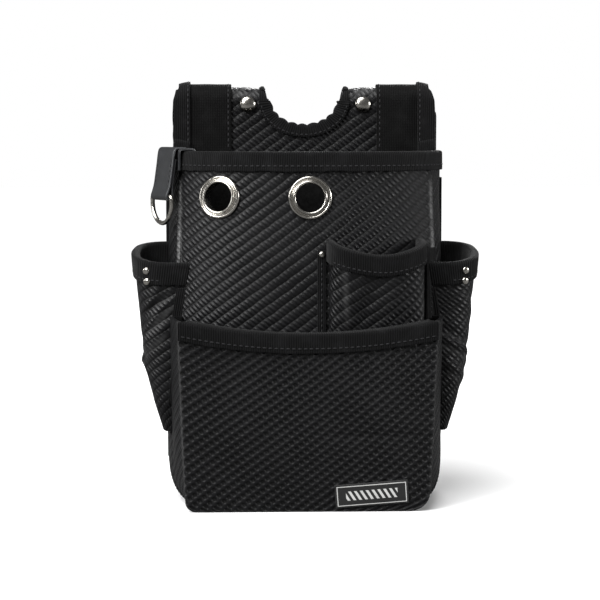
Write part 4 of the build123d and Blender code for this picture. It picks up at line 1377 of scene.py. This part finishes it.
class MakeLowerPouch(bpy.types.Operator):
    """Makes the front, sides and floor of the lower pouch"""
    bl_idname = "pouch.lower_pouch"
    bl_label = "Lower pouch"

    def execute(self, context):
        # Pale folded edges of the lower front: rubbed wear and a painted highlight.
        def rub(u, v):
            edge = bump_at(abs(2 * u - 1), 1.0, 0.012) * (0.6 + 0.4 * ripple(0, v * 130, 8.0, 1.0))
            return 0.35 * edge + 0.3 * bump_at(v, 0.0, 0.012)

        sheet_piece("lower_front_leather", 120, 90, lower_front, LEATHER,
                    ["lattice leather", "lining cloth"], rub, edge=0.9,
                    replaces=["lower_front_panel"], slot="lattice_leather")
        for word, side in SIDES:
            def place(u, v, side=side):
                return lower_side(side, u if side > 0 else 1 - u, v)

            # Painted highlight, with some wear, on the lower side's strip beside the front.
            def wear_and_highlight(u, v, side=side):
                u = u if side > 0 else 1 - u
                return 0.5 * bump_at(u, 0.04, 0.05) * (0.6 + 0.4 * ripple(0, v * 130, 8.0, 2.0))

            sheet_piece(f"{word}_lower_side", 26, 100, place, THIN, LINED, wear_and_highlight,
                        replaces=[f"lower_{word}_gusset"], slot="twill_leather")

        def strip(u, v):
            x = between(-LOWER_STRIP_X, LOWER_STRIP_X, u)
            rear = front_y(x, 0.0) - GAP
            return Vector((x, between(rear, -LOWER_BASE_DEPTH + LEATHER, v), 0.0))

        sheet_piece("lower_floor_leather", 40, 6, strip, THIN, ["twill leather"],
                    replaces=["lower_floor_strip"], slot="twill_leather")
        return {"FINISHED"}


class MakeLowerBinding(bpy.types.Operator):
    """Makes the stitched binding of the lower pouch's rim"""
    bl_idname = "pouch.lower_binding"
    bl_label = "Lower rim binding"

    def execute(self, context):
        band = 12.0
        length = 190
        section = band_section(band, LEATHER)

        def place(u, v):
            x = between(-LOWER_RIM_HALF, LOWER_RIM_HALF, u)
            cut = section.at(v)
            lower = step_up(0, -band, cut.y)
            along = u * length
            out = cut.x + math.copysign(tape_ripple(along, 12.0), cut.x)
            rise = 0.6 * ripple(along, 0, 15.0, 17.0) + 0.35 * ripple(along, 0, 4.5, 19.0)
            s = lower_top(x) + cut.y + rise * lower
            if cut.x < 0:
                x *= 0.93
            return lower_point(x, s, out)

        tape_piece("lower_rim_tape", 150, 26, place, ["lower_rim_binding"], flip=True)

        def seam(share):
            x = between(-LOWER_RIM_HALF + 1.5, LOWER_RIM_HALF - 1.5, share)
            return lower_point(x, lower_top(x) - 0.72 * band, BOUND + 0.15)

        stitch_row("lower_rim_stitches", seam, lambda s: LOWER_OUT)
        return {"FINISHED"}


LABEL_WIDE = 51.0
LABEL_HIGH = 17.0


class MakeLabel(bpy.types.Operator):
    """Makes the plain woven label"""
    bl_idname = "pouch.label"
    bl_label = "Label"

    def execute(self, context):
        middle = Vector((44.5, 12.8))
        tilt = math.radians(4.5)
        width, height = LABEL_WIDE, LABEL_HIGH

        def place(u, v):
            across = (u - 0.5) * width
            up = (v - 0.5) * height
            x = middle.x + across * math.cos(tilt) - up * math.sin(tilt)
            s = middle.y + across * math.sin(tilt) + up * math.cos(tilt)
            lift = 0.25 * ripple(x, s, 12.0, 41.0) * step_up(0.2, 0.5, abs(u - 0.5))
            return lower_point(x, s, GAP + 0.8 + max(0.0, lift))

        sheet_piece("label_patch", 40, 16, place, 0.8, ["label cloth"], edge=0.25,
                    replaces=["label"], slot="label_cloth")
        return {"FINISHED"}


# Small pocket

@lru_cache(maxsize=None)
def small_trail(z, out):
    """Outline of the small pocket at a height, from its left root to its right root."""
    share = (z - SMALL_FOOT) / (SMALL_RIM - SMALL_FOOT)
    bulge = between(8.0, 20.0, share) + out
    half = SMALL_HALF + out
    base = outline(round(z, 3))[3][1]
    square = 0.75
    right = [(half, base), (half, base - square * bulge), (square * half, base - bulge),
             (0, base - bulge)]
    curve = [bent(right, i / 24) for i in range(25)]
    left = [(-x, y) for x, y in curve]
    line = left + list(reversed(curve[:-1]))
    first = (-half, front_y(SMALL_X - half, z) - GAP)
    last = (half, front_y(SMALL_X + half, z) - GAP)
    points = [first] + line + [last]
    return Trail([Vector((SMALL_X + x, y, z)) for x, y in points])


def small_x(u):
    """X at a share round the small pocket."""
    return small_trail(150.0, 0.0).at(u).x


def small_top(x):
    """Height of the small pocket's dipped mouth at an X."""
    share = min(1.0, abs(x - SMALL_X - 3.0) / (SMALL_HALF - (3.0 if x > SMALL_X else -3.0)))
    return SMALL_RIM - SMALL_SAG * (1 - share ** 1.8)


def small_point(u, z, out):
    """A point on the small pocket, with the folds of its leather."""
    x = small_x(u)
    level = max(SMALL_FOOT, z)
    folds = 0.0
    if level < SMALL_RIM - 12:
        away = step_up(SMALL_RIM - 12, SMALL_RIM - 24, level)
        folds = away * (1.0 * bump_at(x - 0.35 * (level - 150), SMALL_X + 12, 6.0)
                        - 1.0 * bump_at(x - 0.35 * (level - 150), SMALL_X - 6, 5.0)
                        + 0.6 * ripple(x, level, 11.0, 51.0))
    point = small_trail(round(level, 2), round(out, 2)).at(u)
    centre = Vector((SMALL_X, outline(round(level, 3))[3][1], level))
    away = point - centre
    away.z = 0
    if away.length > 1e-6:
        point = point + away.normalized() * folds
    return Vector((point.x, point.y, z))


class MakeSmallPocket(bpy.types.Operator):
    """Makes the small front pocket with its binding and side strips"""
    bl_idname = "pouch.small_pocket"
    bl_label = "Small pocket"

    def execute(self, context):
        def place(u, v):
            x = small_x(u)
            top = small_top(x)
            if v < 0.06:
                rim = small_trail(SMALL_FOOT, 0.0).at(u)
                back = Vector((rim.x, front_y(rim.x, SMALL_FOOT) - GAP, SMALL_FOOT))
                return back.lerp(rim, v / 0.06)
            z = between(SMALL_FOOT, top, (v - 0.06) / 0.94)
            return small_point(u, z, 0.0)

        # Painted highlight on the pocket's right side and left edge, with some rubbed wear.
        def rub(u, v):
            patchy = 0.6 + 0.5 * ripple(u * 60, v * 60, 7.0, 66.0)
            return patchy * (0.3 * bump_at(u, 0.80, 0.05) * step_up(0.2, 0.4, v)
                             + 0.25 * bump_at(u, 0.19, 0.02))

        sheet_piece("small_pocket_leather", 90, 60, place, THIN, LINED,
                    rub, replaces=["small_pocket"], slot="twill_leather")
        band = 13.0
        length = 130
        section = band_section(band, THIN)

        def edge(u, v):
            cut = section.at(v)
            x = small_x(u)
            ripples = tape_ripple(u * length, 61.0)
            lower = step_up(0, -band, cut.y)
            z = small_top(x) + cut.y + 0.4 * ripple(u * length, 0, 12.0, 63.0) * lower
            out = cut.x + math.copysign(ripples, cut.x)
            return small_trail(round(z, 2), round(out, 1)).at(u)

        tape_piece("small_pocket_tape", 110, 24, edge, ["small_pocket_binding"], flip=True)

        def seam(share):
            u = 0.12 + 0.76 * share
            x = small_x(u)
            return small_trail(round(small_top(x) - 0.8 * band, 2), round(BOUND + 0.1, 2)).at(u)

        def faces(share):
            u = 0.12 + 0.76 * share
            return small_trail(175.0, 2.0).at(u) - small_trail(175.0, 0.0).at(u)

        stitch_row("small_pocket_stitches", seam, faces, **FINE_STITCH)
        self.strips()
        return {"FINISHED"}

    def strips(self):
        """The strips that sew the pocket's sides to the panel."""
        bm = bmesh.new()
        low = low_mm("small_pocket_tabs").z
        high = high_mm("small_pocket_tabs").z
        reach = SMALL_HALF + BOUND + GAP
        wide = 6.0
        for x0, x1 in ((SMALL_X - reach - wide, SMALL_X - reach),
                       (SMALL_X + reach, SMALL_X + reach + wide)):
            def place(u, v, x0=x0, x1=x1):
                x = between(x0, x1, u)
                z = between(low, high, v) + 0.4 * ripple(x, v * 60, 6.0, 71.0)
                t = wall_at_x(round(abs(x), 2), round(z, 2))
                lift = wall_relief(z, x)
                point = wall(t, z, BOUND + lift + 0.15 * ripple(v * 60, 0, 4.0, x0))
                return Vector((math.copysign(point.x, x), point.y, point.z))

            lay(bm, 8, 40, place)
        piece = finish_piece("small_pocket_strips", bm, ["binding tape"],
                             replaces=["small_pocket_tabs"], slot="binding_tape")
        give_wall(piece, TAPE, edge=0.4)
        for count, x in enumerate((SMALL_X - reach - wide / 2, SMALL_X + reach + wide / 2)):
            def line(share, x=x):
                z = between(low + 2, high - 8, share)
                lift = wall_relief(z, x)
                return wall(wall_at_x(round(abs(x), 2), round(z, 2)), z, BOUND + lift + 0.15)

            stitch_row(f"small_pocket_strip_stitches_{count}", line, lambda s: (0.2, -1, 0),
                       long=2.3, pitch=3.4)


# Side pockets

POCKET_ROUND = 90      # rough distance round a side pocket


def side_shape(z):
    """How far out a side pocket reaches at a height, and half its length."""
    low, high, share = step_at(SIDE_STEPS, z)
    return BACK_HALF + between(low[1], high[1], share), between(low[2], high[2], share)


def side_front(reach, half):
    """Control points of the right side pocket's front half."""
    return [(BACK_HALF, SIDE_MIDDLE - half),
            (between(BACK_HALF, reach, SIDE_SQUARE), SIDE_MIDDLE - half),
            (reach, SIDE_MIDDLE - SIDE_SQUARE * half), (reach, SIDE_MIDDLE)]


@lru_cache(maxsize=None)
def side_trail(z, out):
    """Outline of the right side pocket at a height, from its front root to its rear root."""
    reach, half = side_shape(z)
    reach += out
    half += out
    front = side_front(reach, half)
    curve = [bent(front, i / 20) for i in range(21)]
    rear = [(x, 2 * SIDE_MIDDLE - y) for x, y in reversed(curve[:-1])]
    first = (side_x(curve[0][1], z) + GAP, curve[0][1])
    last = (side_x(rear[-1][1], z) + GAP, rear[-1][1])
    points = [first] + curve + rear + [last]
    return Trail([Vector((x, y, z)) for x, y in points])


def side_y(u):
    """Y at a share round a side pocket."""
    return side_trail(120.0, 0.0).at(u).y


def side_mouth(y):
    """Height of a side pocket's slanting mouth at a Y."""
    return between(SIDE_MOUTH_FRONT, SIDE_MOUTH_REAR, (y - SIDE_FRONT) / (SIDE_REAR - SIDE_FRONT))


# Folds of the side pockets: share round, height, share round, height, depth and width.
LEFT_FOLDS = ((0.05, 150, 0.42, 112, 1.5, 4.0), (0.10, 128, 0.55, 96, 1.1, 4.0),
              (0.06, 170, 0.30, 140, 0.8, 3.0), (0.30, 90, 0.75, 118, 0.8, 5.0))
RIGHT_FOLDS = ((0.05, 120, 0.45, 104, 1.3, 3.5), (0.12, 100, 0.50, 84, 1.0, 4.0),
               (0.20, 150, 0.60, 128, 0.7, 5.0), (0.40, 92, 0.80, 112, 0.8, 5.0))


def fold_relief(folds, u, z):
    """How far a side pocket's folds stand out at a place on it."""
    value = 0.0
    for u1, z1, u2, z2, depth, width in folds:
        ax, az, bx, bz = u1 * POCKET_ROUND, z1, u2 * POCKET_ROUND, z2
        dx, dz = bx - ax, bz - az
        size = math.hypot(dx, dz)
        along = ((u * POCKET_ROUND - ax) * dx + (z - az) * dz) / size / size
        away = ((u * POCKET_ROUND - ax) * dz - (z - az) * dx) / size
        fade = step_up(-0.15, 0.15, along) * step_up(1.15, 0.85, along)
        value += fade * depth * (bump_at(away, 0, width) - 0.7 * bump_at(away, -1.6 * width, width))
    return value


def side_point(folds, u, z, out):
    """A point on the right side pocket, with the folds of its leather."""
    tied = step_up(0.0, 0.08, u) * step_up(1.0, 0.92, u)
    held = step_up(side_mouth(SIDE_FRONT) - 12, side_mouth(SIDE_FRONT) - 30, z)
    soft = 0.5 * ripple(u * POCKET_ROUND, z, 16.0, 81.0)
    relief = tied * held * (fold_relief(folds, u, z) + soft)
    return side_trail(round(z, 2), round(out + relief, 2)).at(u)


class MakeSidePockets(bpy.types.Operator):
    """Makes the two side pockets with their bindings, seam tapes and stitches"""
    bl_idname = "pouch.side_pockets"
    bl_label = "Side pockets"

    def execute(self, context):
        toe = SIDE_STEPS[0][0]
        band = 14.0
        section = band_section(band, THIN)
        for word, side in SIDES:
            folds = LEFT_FOLDS if side < 0 else RIGHT_FOLDS

            def way(u, side=side):
                return u if side > 0 else 1 - u

            def place(u, v, side=side, folds=folds):
                u = way(u, side)
                y = side_y(u)
                if v < 0.05:
                    rim = side_trail(toe, 0.0).at(u)
                    back = Vector((side_x(rim.y, toe) + GAP, rim.y, toe))
                    return mirrored(back.lerp(rim, v / 0.05), side)
                z = between(toe, side_mouth(y), (v - 0.05) / 0.95)
                return mirrored(side_point(folds, u, z, 0.0), side)

            # Painted highlight, with some rubbed wear, along the ridges of the pocket's folds.
            def rub(u, v, side=side, folds=folds):
                u = way(u, side)
                ridge = fold_relief(folds, u, between(toe, 175, v))
                patchy = 0.6 + 0.5 * ripple(u * POCKET_ROUND, v * 120, 6.0, 68.0)
                return 0.55 * step_up(0.5, 1.3, ridge) * patchy

            sheet_piece(f"{word}_side_pocket_leather", 80, 90, place, THIN,
                        LINED, rub,
                        replaces=[f"{word}_side_pocket"], slot="twill_leather")

            def edge(u, v, side=side):
                u = way(u, side)
                cut = section.at(v)
                y = side_y(u)
                z = side_mouth(y) + cut.y
                out = cut.x + math.copysign(tape_ripple(u * POCKET_ROUND, 91.0 + side), cut.x)
                return mirrored(side_trail(round(z, 2), round(out, 2)).at(u), side)

            tape_piece(f"{word}_side_pocket_tape", 100, 24, edge,
                       [f"{word}_side_pocket_binding"], flip=True)

            def seam_tape(u, v, side=side, folds=folds):
                z = between(low_mm(f"{word}_side_seam_tape").z, SIDE_MOUTH_FRONT - band - 2, v)
                trail = side_trail(round(z, 2), BOUND)
                share = between(0.02, 7.0, u if side > 0 else 1 - u) / trail.length
                return mirrored(trail.at(share), side)

            tape_piece(f"{word}_side_seam_strip", 8, 70, seam_tape,
                       [f"{word}_side_seam_tape"], offset=-1.0, edge=0.4)

            def seam(share, side=side):
                u = 0.2 + 0.76 * share
                y = side_y(u)
                z = side_mouth(y) - 0.8 * band
                return mirrored(side_trail(round(z, 2), round(BOUND + 0.1, 2)).at(u), side)

            def faces(share, side=side):
                u = 0.2 + 0.76 * share
                return mirrored(side_trail(150.0, 2.0).at(u) - side_trail(150.0, 0.0).at(u), side)

            stitch_row(f"{word}_side_pocket_stitches", seam, faces, **FINE_STITCH)
        return {"FINISHED"}


# Metal pieces

def cap_profile(radius, height, base=0.0, shank=None, length=0.0):
    """A domed cap with a rolled edge, as (radius, height) points from its crown outwards."""
    points = [(0.0, base + height)]
    for i in range(1, 11):
        turn = math.pi / 2 * i / 10
        points.append((radius * math.sin(turn) ** 0.95, base + height * math.cos(turn) ** 0.85))
    points[-1] = (radius, base + 0.084 * height)
    points += [(radius * 0.985, base), (radius * 0.9, base - 0.02)]
    points += [(shank, base - 0.02), (shank, -length), (0.0, -length)] if shank else [(0.0, base)]
    return points


class MakeMetal(bpy.types.Operator):
    """Makes the eyelets, washers, dome rivets and small rivets"""
    bl_idname = "pouch.metal"
    bl_label = "Eyelets and rivets"

    def execute(self, context):
        rings, washers = bmesh.new(), bmesh.new()
        depth = 6.6
        for middle, axis in eyelet_mounts():
            h = EYELET_HOLE
            profile = [(EYELET_BARREL, -depth), (h + 0.1, -depth), (h, -depth + 0.4), (h, 2.0),
                       (h + 0.15, 2.5), (h + 0.55, 2.82), (h + 1.05, 2.9), (h + 1.55, 2.7),
                       (h + 1.85, 2.2), (h + 2.0, 1.6), (h + 2.15, 1.1), (h + 2.45, 0.9),
                       (h + 2.8, 0.98), (h + 3.1, 1.3), (h + 3.5, 1.58), (h + 4.0, 1.66),
                       (h + 4.5, 1.45), (h + 4.9, 1.0), (h + 5.15, 0.6), (EYELET_FLANGE, GAP),
                       (EYELET_FLANGE - 0.4, GAP - 0.05), (EYELET_BARREL, GAP),
                       (EYELET_BARREL, -depth)]
            turned(rings, profile, middle, axis, steps=72)
            washer = [(EYELET_BARREL + 0.08, -5.2), (14.2, -5.2), (14.5, -5.4), (14.5, -6.0),
                      (14.2, -6.2), (EYELET_BARREL + 0.08, -6.2), (EYELET_BARREL + 0.08, -5.2)]
            turned(washers, washer, middle, axis, steps=60)
        for bm, name, node in ((rings, "eyelet_rings", "eyelets"),
                               (washers, "washer_rings", "eyelet_washers")):
            closed_up(bm)
            finish_piece(name, bm, ["nickel plate"], replaces=[node], slot="nickel")
        self.domes()
        self.small_rivets()
        return {"FINISHED"}

    def domes(self):
        fronts, backs = bmesh.new(), bmesh.new()
        seat = -(LEATHER + GAP)
        for x in DOMES:
            profile = cap_profile(DOME_RADIUS, 3.5, 0.0, 1.75, 12.0 + 2 * LEATHER)
            turned(fronts, profile, (x, seat - 0.35, DOME_Z), (0, -1, 0))
            turned(backs, cap_profile(DOME_RADIUS, 2.6), (x, TUNNEL + LEATHER + GAP, DOME_Z),
                   (0, 1, 0))
        for bm, name, node in ((fronts, "dome_studs", "dome_rivets"),
                               (backs, "dome_sockets", "dome_rivet_backs")):
            closed_up(bm)
            finish_piece(name, bm, ["nickel plate"], replaces=[node], slot="nickel")

    def small_rivets(self):
        bm = bmesh.new()
        for count in range(2):
            z = SIDE_MOUTH_FRONT - 4.0 - count * 7.5
            for side in (-1, 1):
                here, faces = side_rivet(z)
                turned(bm, cap_profile(2.6, 1.5, BOUND + GAP, 1.0, 3.5), mirrored(here, side),
                       mirrored(faces, side), steps=28)
        closed_up(bm)
        finish_piece("side_pocket_studs", bm, ["nickel plate"], replaces=["side_pocket_rivets"],
                     slot="nickel")
        bm = bmesh.new()
        low, high = low_mm("small_pocket_rivet"), high_mm("small_pocket_rivet")
        x, z = (low.x + high.x) / 2, 179.0
        t = wall_at_x(round(x, 2), z)
        lift = wall_relief(z, x)
        here = wall(t, z, lift)
        faces = wall(t, z, 2.0) - wall(t, z)
        turned(bm, cap_profile(2.2, 1.5, BOUND + GAP, 1.0, 3.0), here, faces, steps=28)
        closed_up(bm)
        finish_piece("small_pocket_stud", bm, ["nickel plate"], replaces=["small_pocket_rivet"],
                     slot="nickel")


def side_rivet(z):
    """Place and facing of a small rivet on the right side pocket."""
    reach, half = side_shape(z)
    points = side_front(reach, half)
    share = 0.33
    here, near, past = (Vector((*bent(points, t), z))
                        for t in (share, share - 0.01, share + 0.01))
    return here, (past - near).cross(Vector((0, 0, 1)))


# Ring strap and D-ring

def joint(name):
    """A joint's place, as drawn here, and its axis."""
    found = next(j for j in frame["joints"] if j["name"] == name)
    pos = Vector(found["pos_m"]) / MM
    return Vector((pos.x, pos.y - REAR, pos.z)), Vector(found["axis"]).normalized()


class MakeRing(bpy.types.Operator):
    """Makes the ring strap, its clip over the rim and the D-ring"""
    bl_idname = "pouch.ring"
    bl_label = "Ring strap and D-ring"

    def execute(self, context):
        hinge, along = joint("strap_flex")
        bar, _ = joint("ring_swing")
        up = Vector((0, 0, 1))
        out = up.cross(along) if up.cross(along).x < 0 else along.cross(up)
        half = 12.5
        self.clip(hinge, along, out, up, half)
        drop = bar - hinge
        length = drop.length
        down = drop.normalized()
        face = (out - down * out.dot(down)).normalized()
        loop = 3.2
        thick = 1.45
        line = [hinge - out * 8.0 + up * 1.0, hinge - out * 3.0 + up * 1.2,
                hinge + up * 1.1 + out * 0.6, hinge + face * 1.2 + down * 3.0]
        line += [hinge + face * 0.95 + down * (length * k) for k in (0.3, 0.55, 0.8)]
        for i in range(9):
            turn = math.pi * i / 8
            line.append(bar + face * (loop - thick / 2) * math.cos(turn)
                        + down * (loop - thick / 2) * math.sin(turn))
        line += [hinge - face * 0.85 + down * (length * k) for k in (0.78, 0.5, 0.2)]
        path = Trail(line, rounds=2)

        def place(u, v):
            edge = abs(2 * u - 1)
            curl = -0.5 * edge ** 4
            narrow = 1 - 0.04 * step_up(0.4, 0.7, v)
            return path.at(v) + along * (u - 0.5) * 2 * half * narrow + face * curl * 0.4

        def rub(u, v):
            return 0.5 * bump_at(abs(2 * u - 1), 1.0, 0.06) + 0.4 * bump_at(v, 0.06, 0.03)

        strap = sheet_piece("ring_strap_leather", 24, 90, place, thick, ["strap leather"], rub,
                            offset=0.0, edge=0.45, body=None, replaces=["ring_strap"],
                            slot="strap_leather")
        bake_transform(strap)

        for count, edge in enumerate((-1, 1)):
            def line_at(share, edge=edge):
                return (hinge + face * 1.75 + down * between(6, length - 5, share)
                        + along * edge * (half - 2.4))

            stitch_row(f"ring_strap_stitches_{count}", line_at, lambda s: face, body="strap",
                       long=2.2, pitch=3.4)
        self.ring(bar, along)
        return {"FINISHED"}

    def clip(self, hinge, along, out, up, half):
        """The clip that is folded over the rim."""
        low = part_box("ring_strap_anchor")[0].z / MM
        outer_face = -1.8
        inner_face = outer_face - 14.2
        points = [hinge + out * (outer_face - 1.0) + up * (low - hinge.z),
                  hinge + out * (outer_face - 1.0) + up * -2.0,
                  hinge + out * (outer_face - 1.0) + up * 0.4,
                  hinge + out * (inner_face + 1.0) + up * 0.4,
                  hinge + out * (inner_face + 1.0) + up * -2.0,
                  hinge + out * (inner_face + 1.0) + up * (low - hinge.z)]
        path = Trail(points, rounds=2)

        def place(u, v):
            return path.at(v) + along * (u - 0.5) * 2 * (half - 0.2)

        sheet_piece("ring_strap_clip", 16, 50, place, 1.7, ["strap leather"],
                    lambda u, v: 0.4 * bump_at(abs(2 * u - 1), 1.0, 0.06), offset=0.0, edge=0.4,
                    replaces=["ring_strap_anchor"], slot="strap_leather")

    def ring(self, bar, along):
        """Bent wire: a straight bar, two short legs and a half round."""
        wire = 1.6
        half = 13.0 + wire
        leg = 2.0
        bend = 2.2
        down = Vector((0, 0, -1))
        facing = along.cross(down).normalized()
        bm = bmesh.new()
        start = bar - along * (half - bend)
        turn = along.to_track_quat("Z", "Y").to_matrix().to_4x4()
        turn.translation = spot(start)
        made = bmesh.ops.create_circle(bm, segments=16, radius=wire * MM, matrix=turn)["verts"]
        ring_edges = list({e for v in made for e in v.link_edges})

        def carry(edges, offset):
            new = bmesh.ops.extrude_edge_only(bm, edges=edges)["geom"]
            verts = [g for g in new if isinstance(g, bmesh.types.BMVert)]
            bmesh.ops.translate(bm, verts=verts, vec=offset * MM)
            return [g for g in new if isinstance(g, bmesh.types.BMEdge)
                    and all(v in verts for v in g.verts)]

        def swing(edges, centre, degrees, steps):
            verts = list({v for e in edges for v in e.verts})
            new = bmesh.ops.spin(bm, geom=verts + edges, cent=spot(centre), axis=facing,
                                 dvec=(0, 0, 0), angle=math.radians(degrees), steps=steps,
                                 use_merge=False, use_duplicate=False)["geom_last"]
            return [g for g in new if isinstance(g, bmesh.types.BMEdge)]

        test = Matrix.Rotation(math.radians(90), 3, facing) @ along
        way = 1 if test.dot(down) > 0 else -1
        edges = carry(ring_edges, along * 2 * (half - bend))
        corner = bar + along * (half - bend) + down * bend
        edges = swing(edges, corner, way * 90, 6)
        straight = leg + 0.6
        edges = carry(edges, down * straight)
        centre = bar + down * (bend + straight)
        edges = swing(edges, centre, way * 180, 28)
        edges = carry(edges, down * -straight)
        corner = bar - along * (half - bend) + down * bend
        edges = swing(edges, corner, way * 90, 6)
        closed_up(bm)
        finish_piece("d_ring_wire", bm, ["nickel plate"], body="ring", replaces=["d_ring"],
                     slot="nickel")


# Stage

PAPER_SEEN, PAPER_LIT = 0.97, 0.12      # the floor as the camera sees it, and as it lights
ROOM_SEEN, ROOM_LIT = 1.0, 0.10         # the same for the room
LAMPS = (("key", (-1.0, -1.1, 0.9), 0.4, 15.0), ("right", (1.3, -0.25, 0.45), 0.35, 9.0),
         ("left", (-1.3, 0.0, 0.5), 0.35, 3.0), ("rear", (0.3, 1.4, 0.9), 0.6, 12.0))
SUN_WAY = Vector((0.42, 0.48, -1.0))
CAMERA_PLACE = (-0.0402, -1.2181, 0.269)
CAMERA_WAY = Vector((0.0295, 0.9943, -0.1024))
LAMPS_AIM = Vector((0, 0, 0.15))


def grey(level):
    return level, level, level, 1


class MakeStage(bpy.types.Operator):
    """Makes the pale floor, the soft lights and the camera"""
    bl_idname = "pouch.stage"
    bl_label = "Stage"

    def execute(self, context):
        scene = context.scene
        bm = bmesh.new()
        bmesh.ops.create_grid(bm, x_segments=2, y_segments=2, size=6.0)
        bmesh.ops.translate(bm, verts=bm.verts, vec=(0, 0, -0.0004))
        floor = finish_piece("floor", bm, [], body=None)
        paper = bpy.data.materials.new("pale paper")
        paper.use_nodes = True
        shader = next(n for n in paper.node_tree.nodes if n.type == "BSDF_PRINCIPLED")
        shader.inputs["Roughness"].default_value = 0.9
        floor.data.materials.append(paper)
        seen = paper.node_tree.nodes.new("ShaderNodeLightPath")
        dim = paper.node_tree.nodes.new("ShaderNodeMix")
        dim.data_type = "RGBA"
        dim.inputs["A"].default_value = grey(PAPER_LIT)
        dim.inputs["B"].default_value = grey(PAPER_SEEN)
        paper.node_tree.links.new(seen.outputs["Is Camera Ray"], dim.inputs["Factor"])
        paper.node_tree.links.new(dim.outputs["Result"], shader.inputs["Base Color"])
        world = bpy.data.worlds.new("soft room")
        world.use_nodes = True
        nodes = world.node_tree.nodes
        sky = nodes["Background"]
        path = nodes.new("ShaderNodeLightPath")
        level = nodes.new("ShaderNodeMapRange")
        level.inputs["To Min"].default_value = ROOM_LIT
        level.inputs["To Max"].default_value = ROOM_SEEN
        world.node_tree.links.new(path.outputs["Is Camera Ray"], level.inputs["Value"])
        world.node_tree.links.new(level.outputs[0], sky.inputs[1])
        sky.inputs[0].default_value = grey(1)
        scene.world = world
        scene.view_settings.view_transform = "Standard"
        sun = bpy.data.lights.new("sun", "SUN")
        sun.energy = 3.9
        sun.specular_factor = 0.35
        sun.angle = math.radians(50)
        high = bpy.data.objects.new("sun", sun)
        scene.collection.objects.link(high)
        high.rotation_euler = SUN_WAY.to_track_quat("-Z", "Y").to_euler()
        for name, place, size, power in LAMPS:
            self.lamp(name, place, size, power)
        lens = bpy.data.cameras.new("camera")
        lens.lens = 102.8
        lens.sensor_width = 36.0
        camera = bpy.data.objects.new("camera", lens)
        scene.collection.objects.link(camera)
        camera.location = CAMERA_PLACE
        camera.rotation_euler = CAMERA_WAY.to_track_quat("-Z", "Y").to_euler()
        scene.camera = camera
        return {"FINISHED"}

    def lamp(self, name, place, size, power):
        light = bpy.data.lights.new(name, "AREA")
        light.size = size
        light.energy = power
        lamp = bpy.data.objects.new(name, light)
        bpy.context.scene.collection.objects.link(lamp)
        lamp.location = place
        aim = LAMPS_AIM - Vector(place)
        lamp.rotation_euler = aim.to_track_quat("-Z", "Y").to_euler()


STEPS = (MakeMaterials, MakeStage, MakeMainPouch, MakeBack, MakeWebbing, MakeNotchBinding,
         MakeRimBinding, MakeBackBindings, MakeLowerPouch, MakeLowerBinding, MakeLabel,
         MakeSmallPocket, MakeSidePockets, MakeMetal, MakeRing)


class PouchPanel(bpy.types.Panel):
    """Lists the sizes, the colours and the steps that make the pouch"""
    bl_idname = "VIEW3D_PT_pouch"
    bl_label = "Tool Pouch"
    bl_space_type = "VIEW_3D"
    bl_region_type = "UI"
    bl_category = "Pouch"

    def draw(self, context):
        layout = self.layout
        for group in (context.scene.pouch_sizes, context.scene.pouch_colours):
            for name in group.__annotations__:
                layout.prop(group, name)
        for step in STEPS:
            layout.operator(step.bl_idname)


CLASSES = (PouchSizes, PouchColours, *STEPS, PouchPanel)


def register():
    for cls in CLASSES:
        bpy.utils.register_class(cls)
    bpy.types.Scene.pouch_sizes = PointerProperty(type=PouchSizes)
    bpy.types.Scene.pouch_colours = PointerProperty(type=PouchColours)


def unregister():
    del bpy.types.Scene.pouch_colours
    del bpy.types.Scene.pouch_sizes
    for cls in reversed(CLASSES):
        bpy.utils.unregister_class(cls)


def main():
    register()
    for step in STEPS:
        group, name = step.bl_idname.split(".")
        getattr(getattr(bpy.ops, group), name)()


if __name__ == "__main__":
    main()
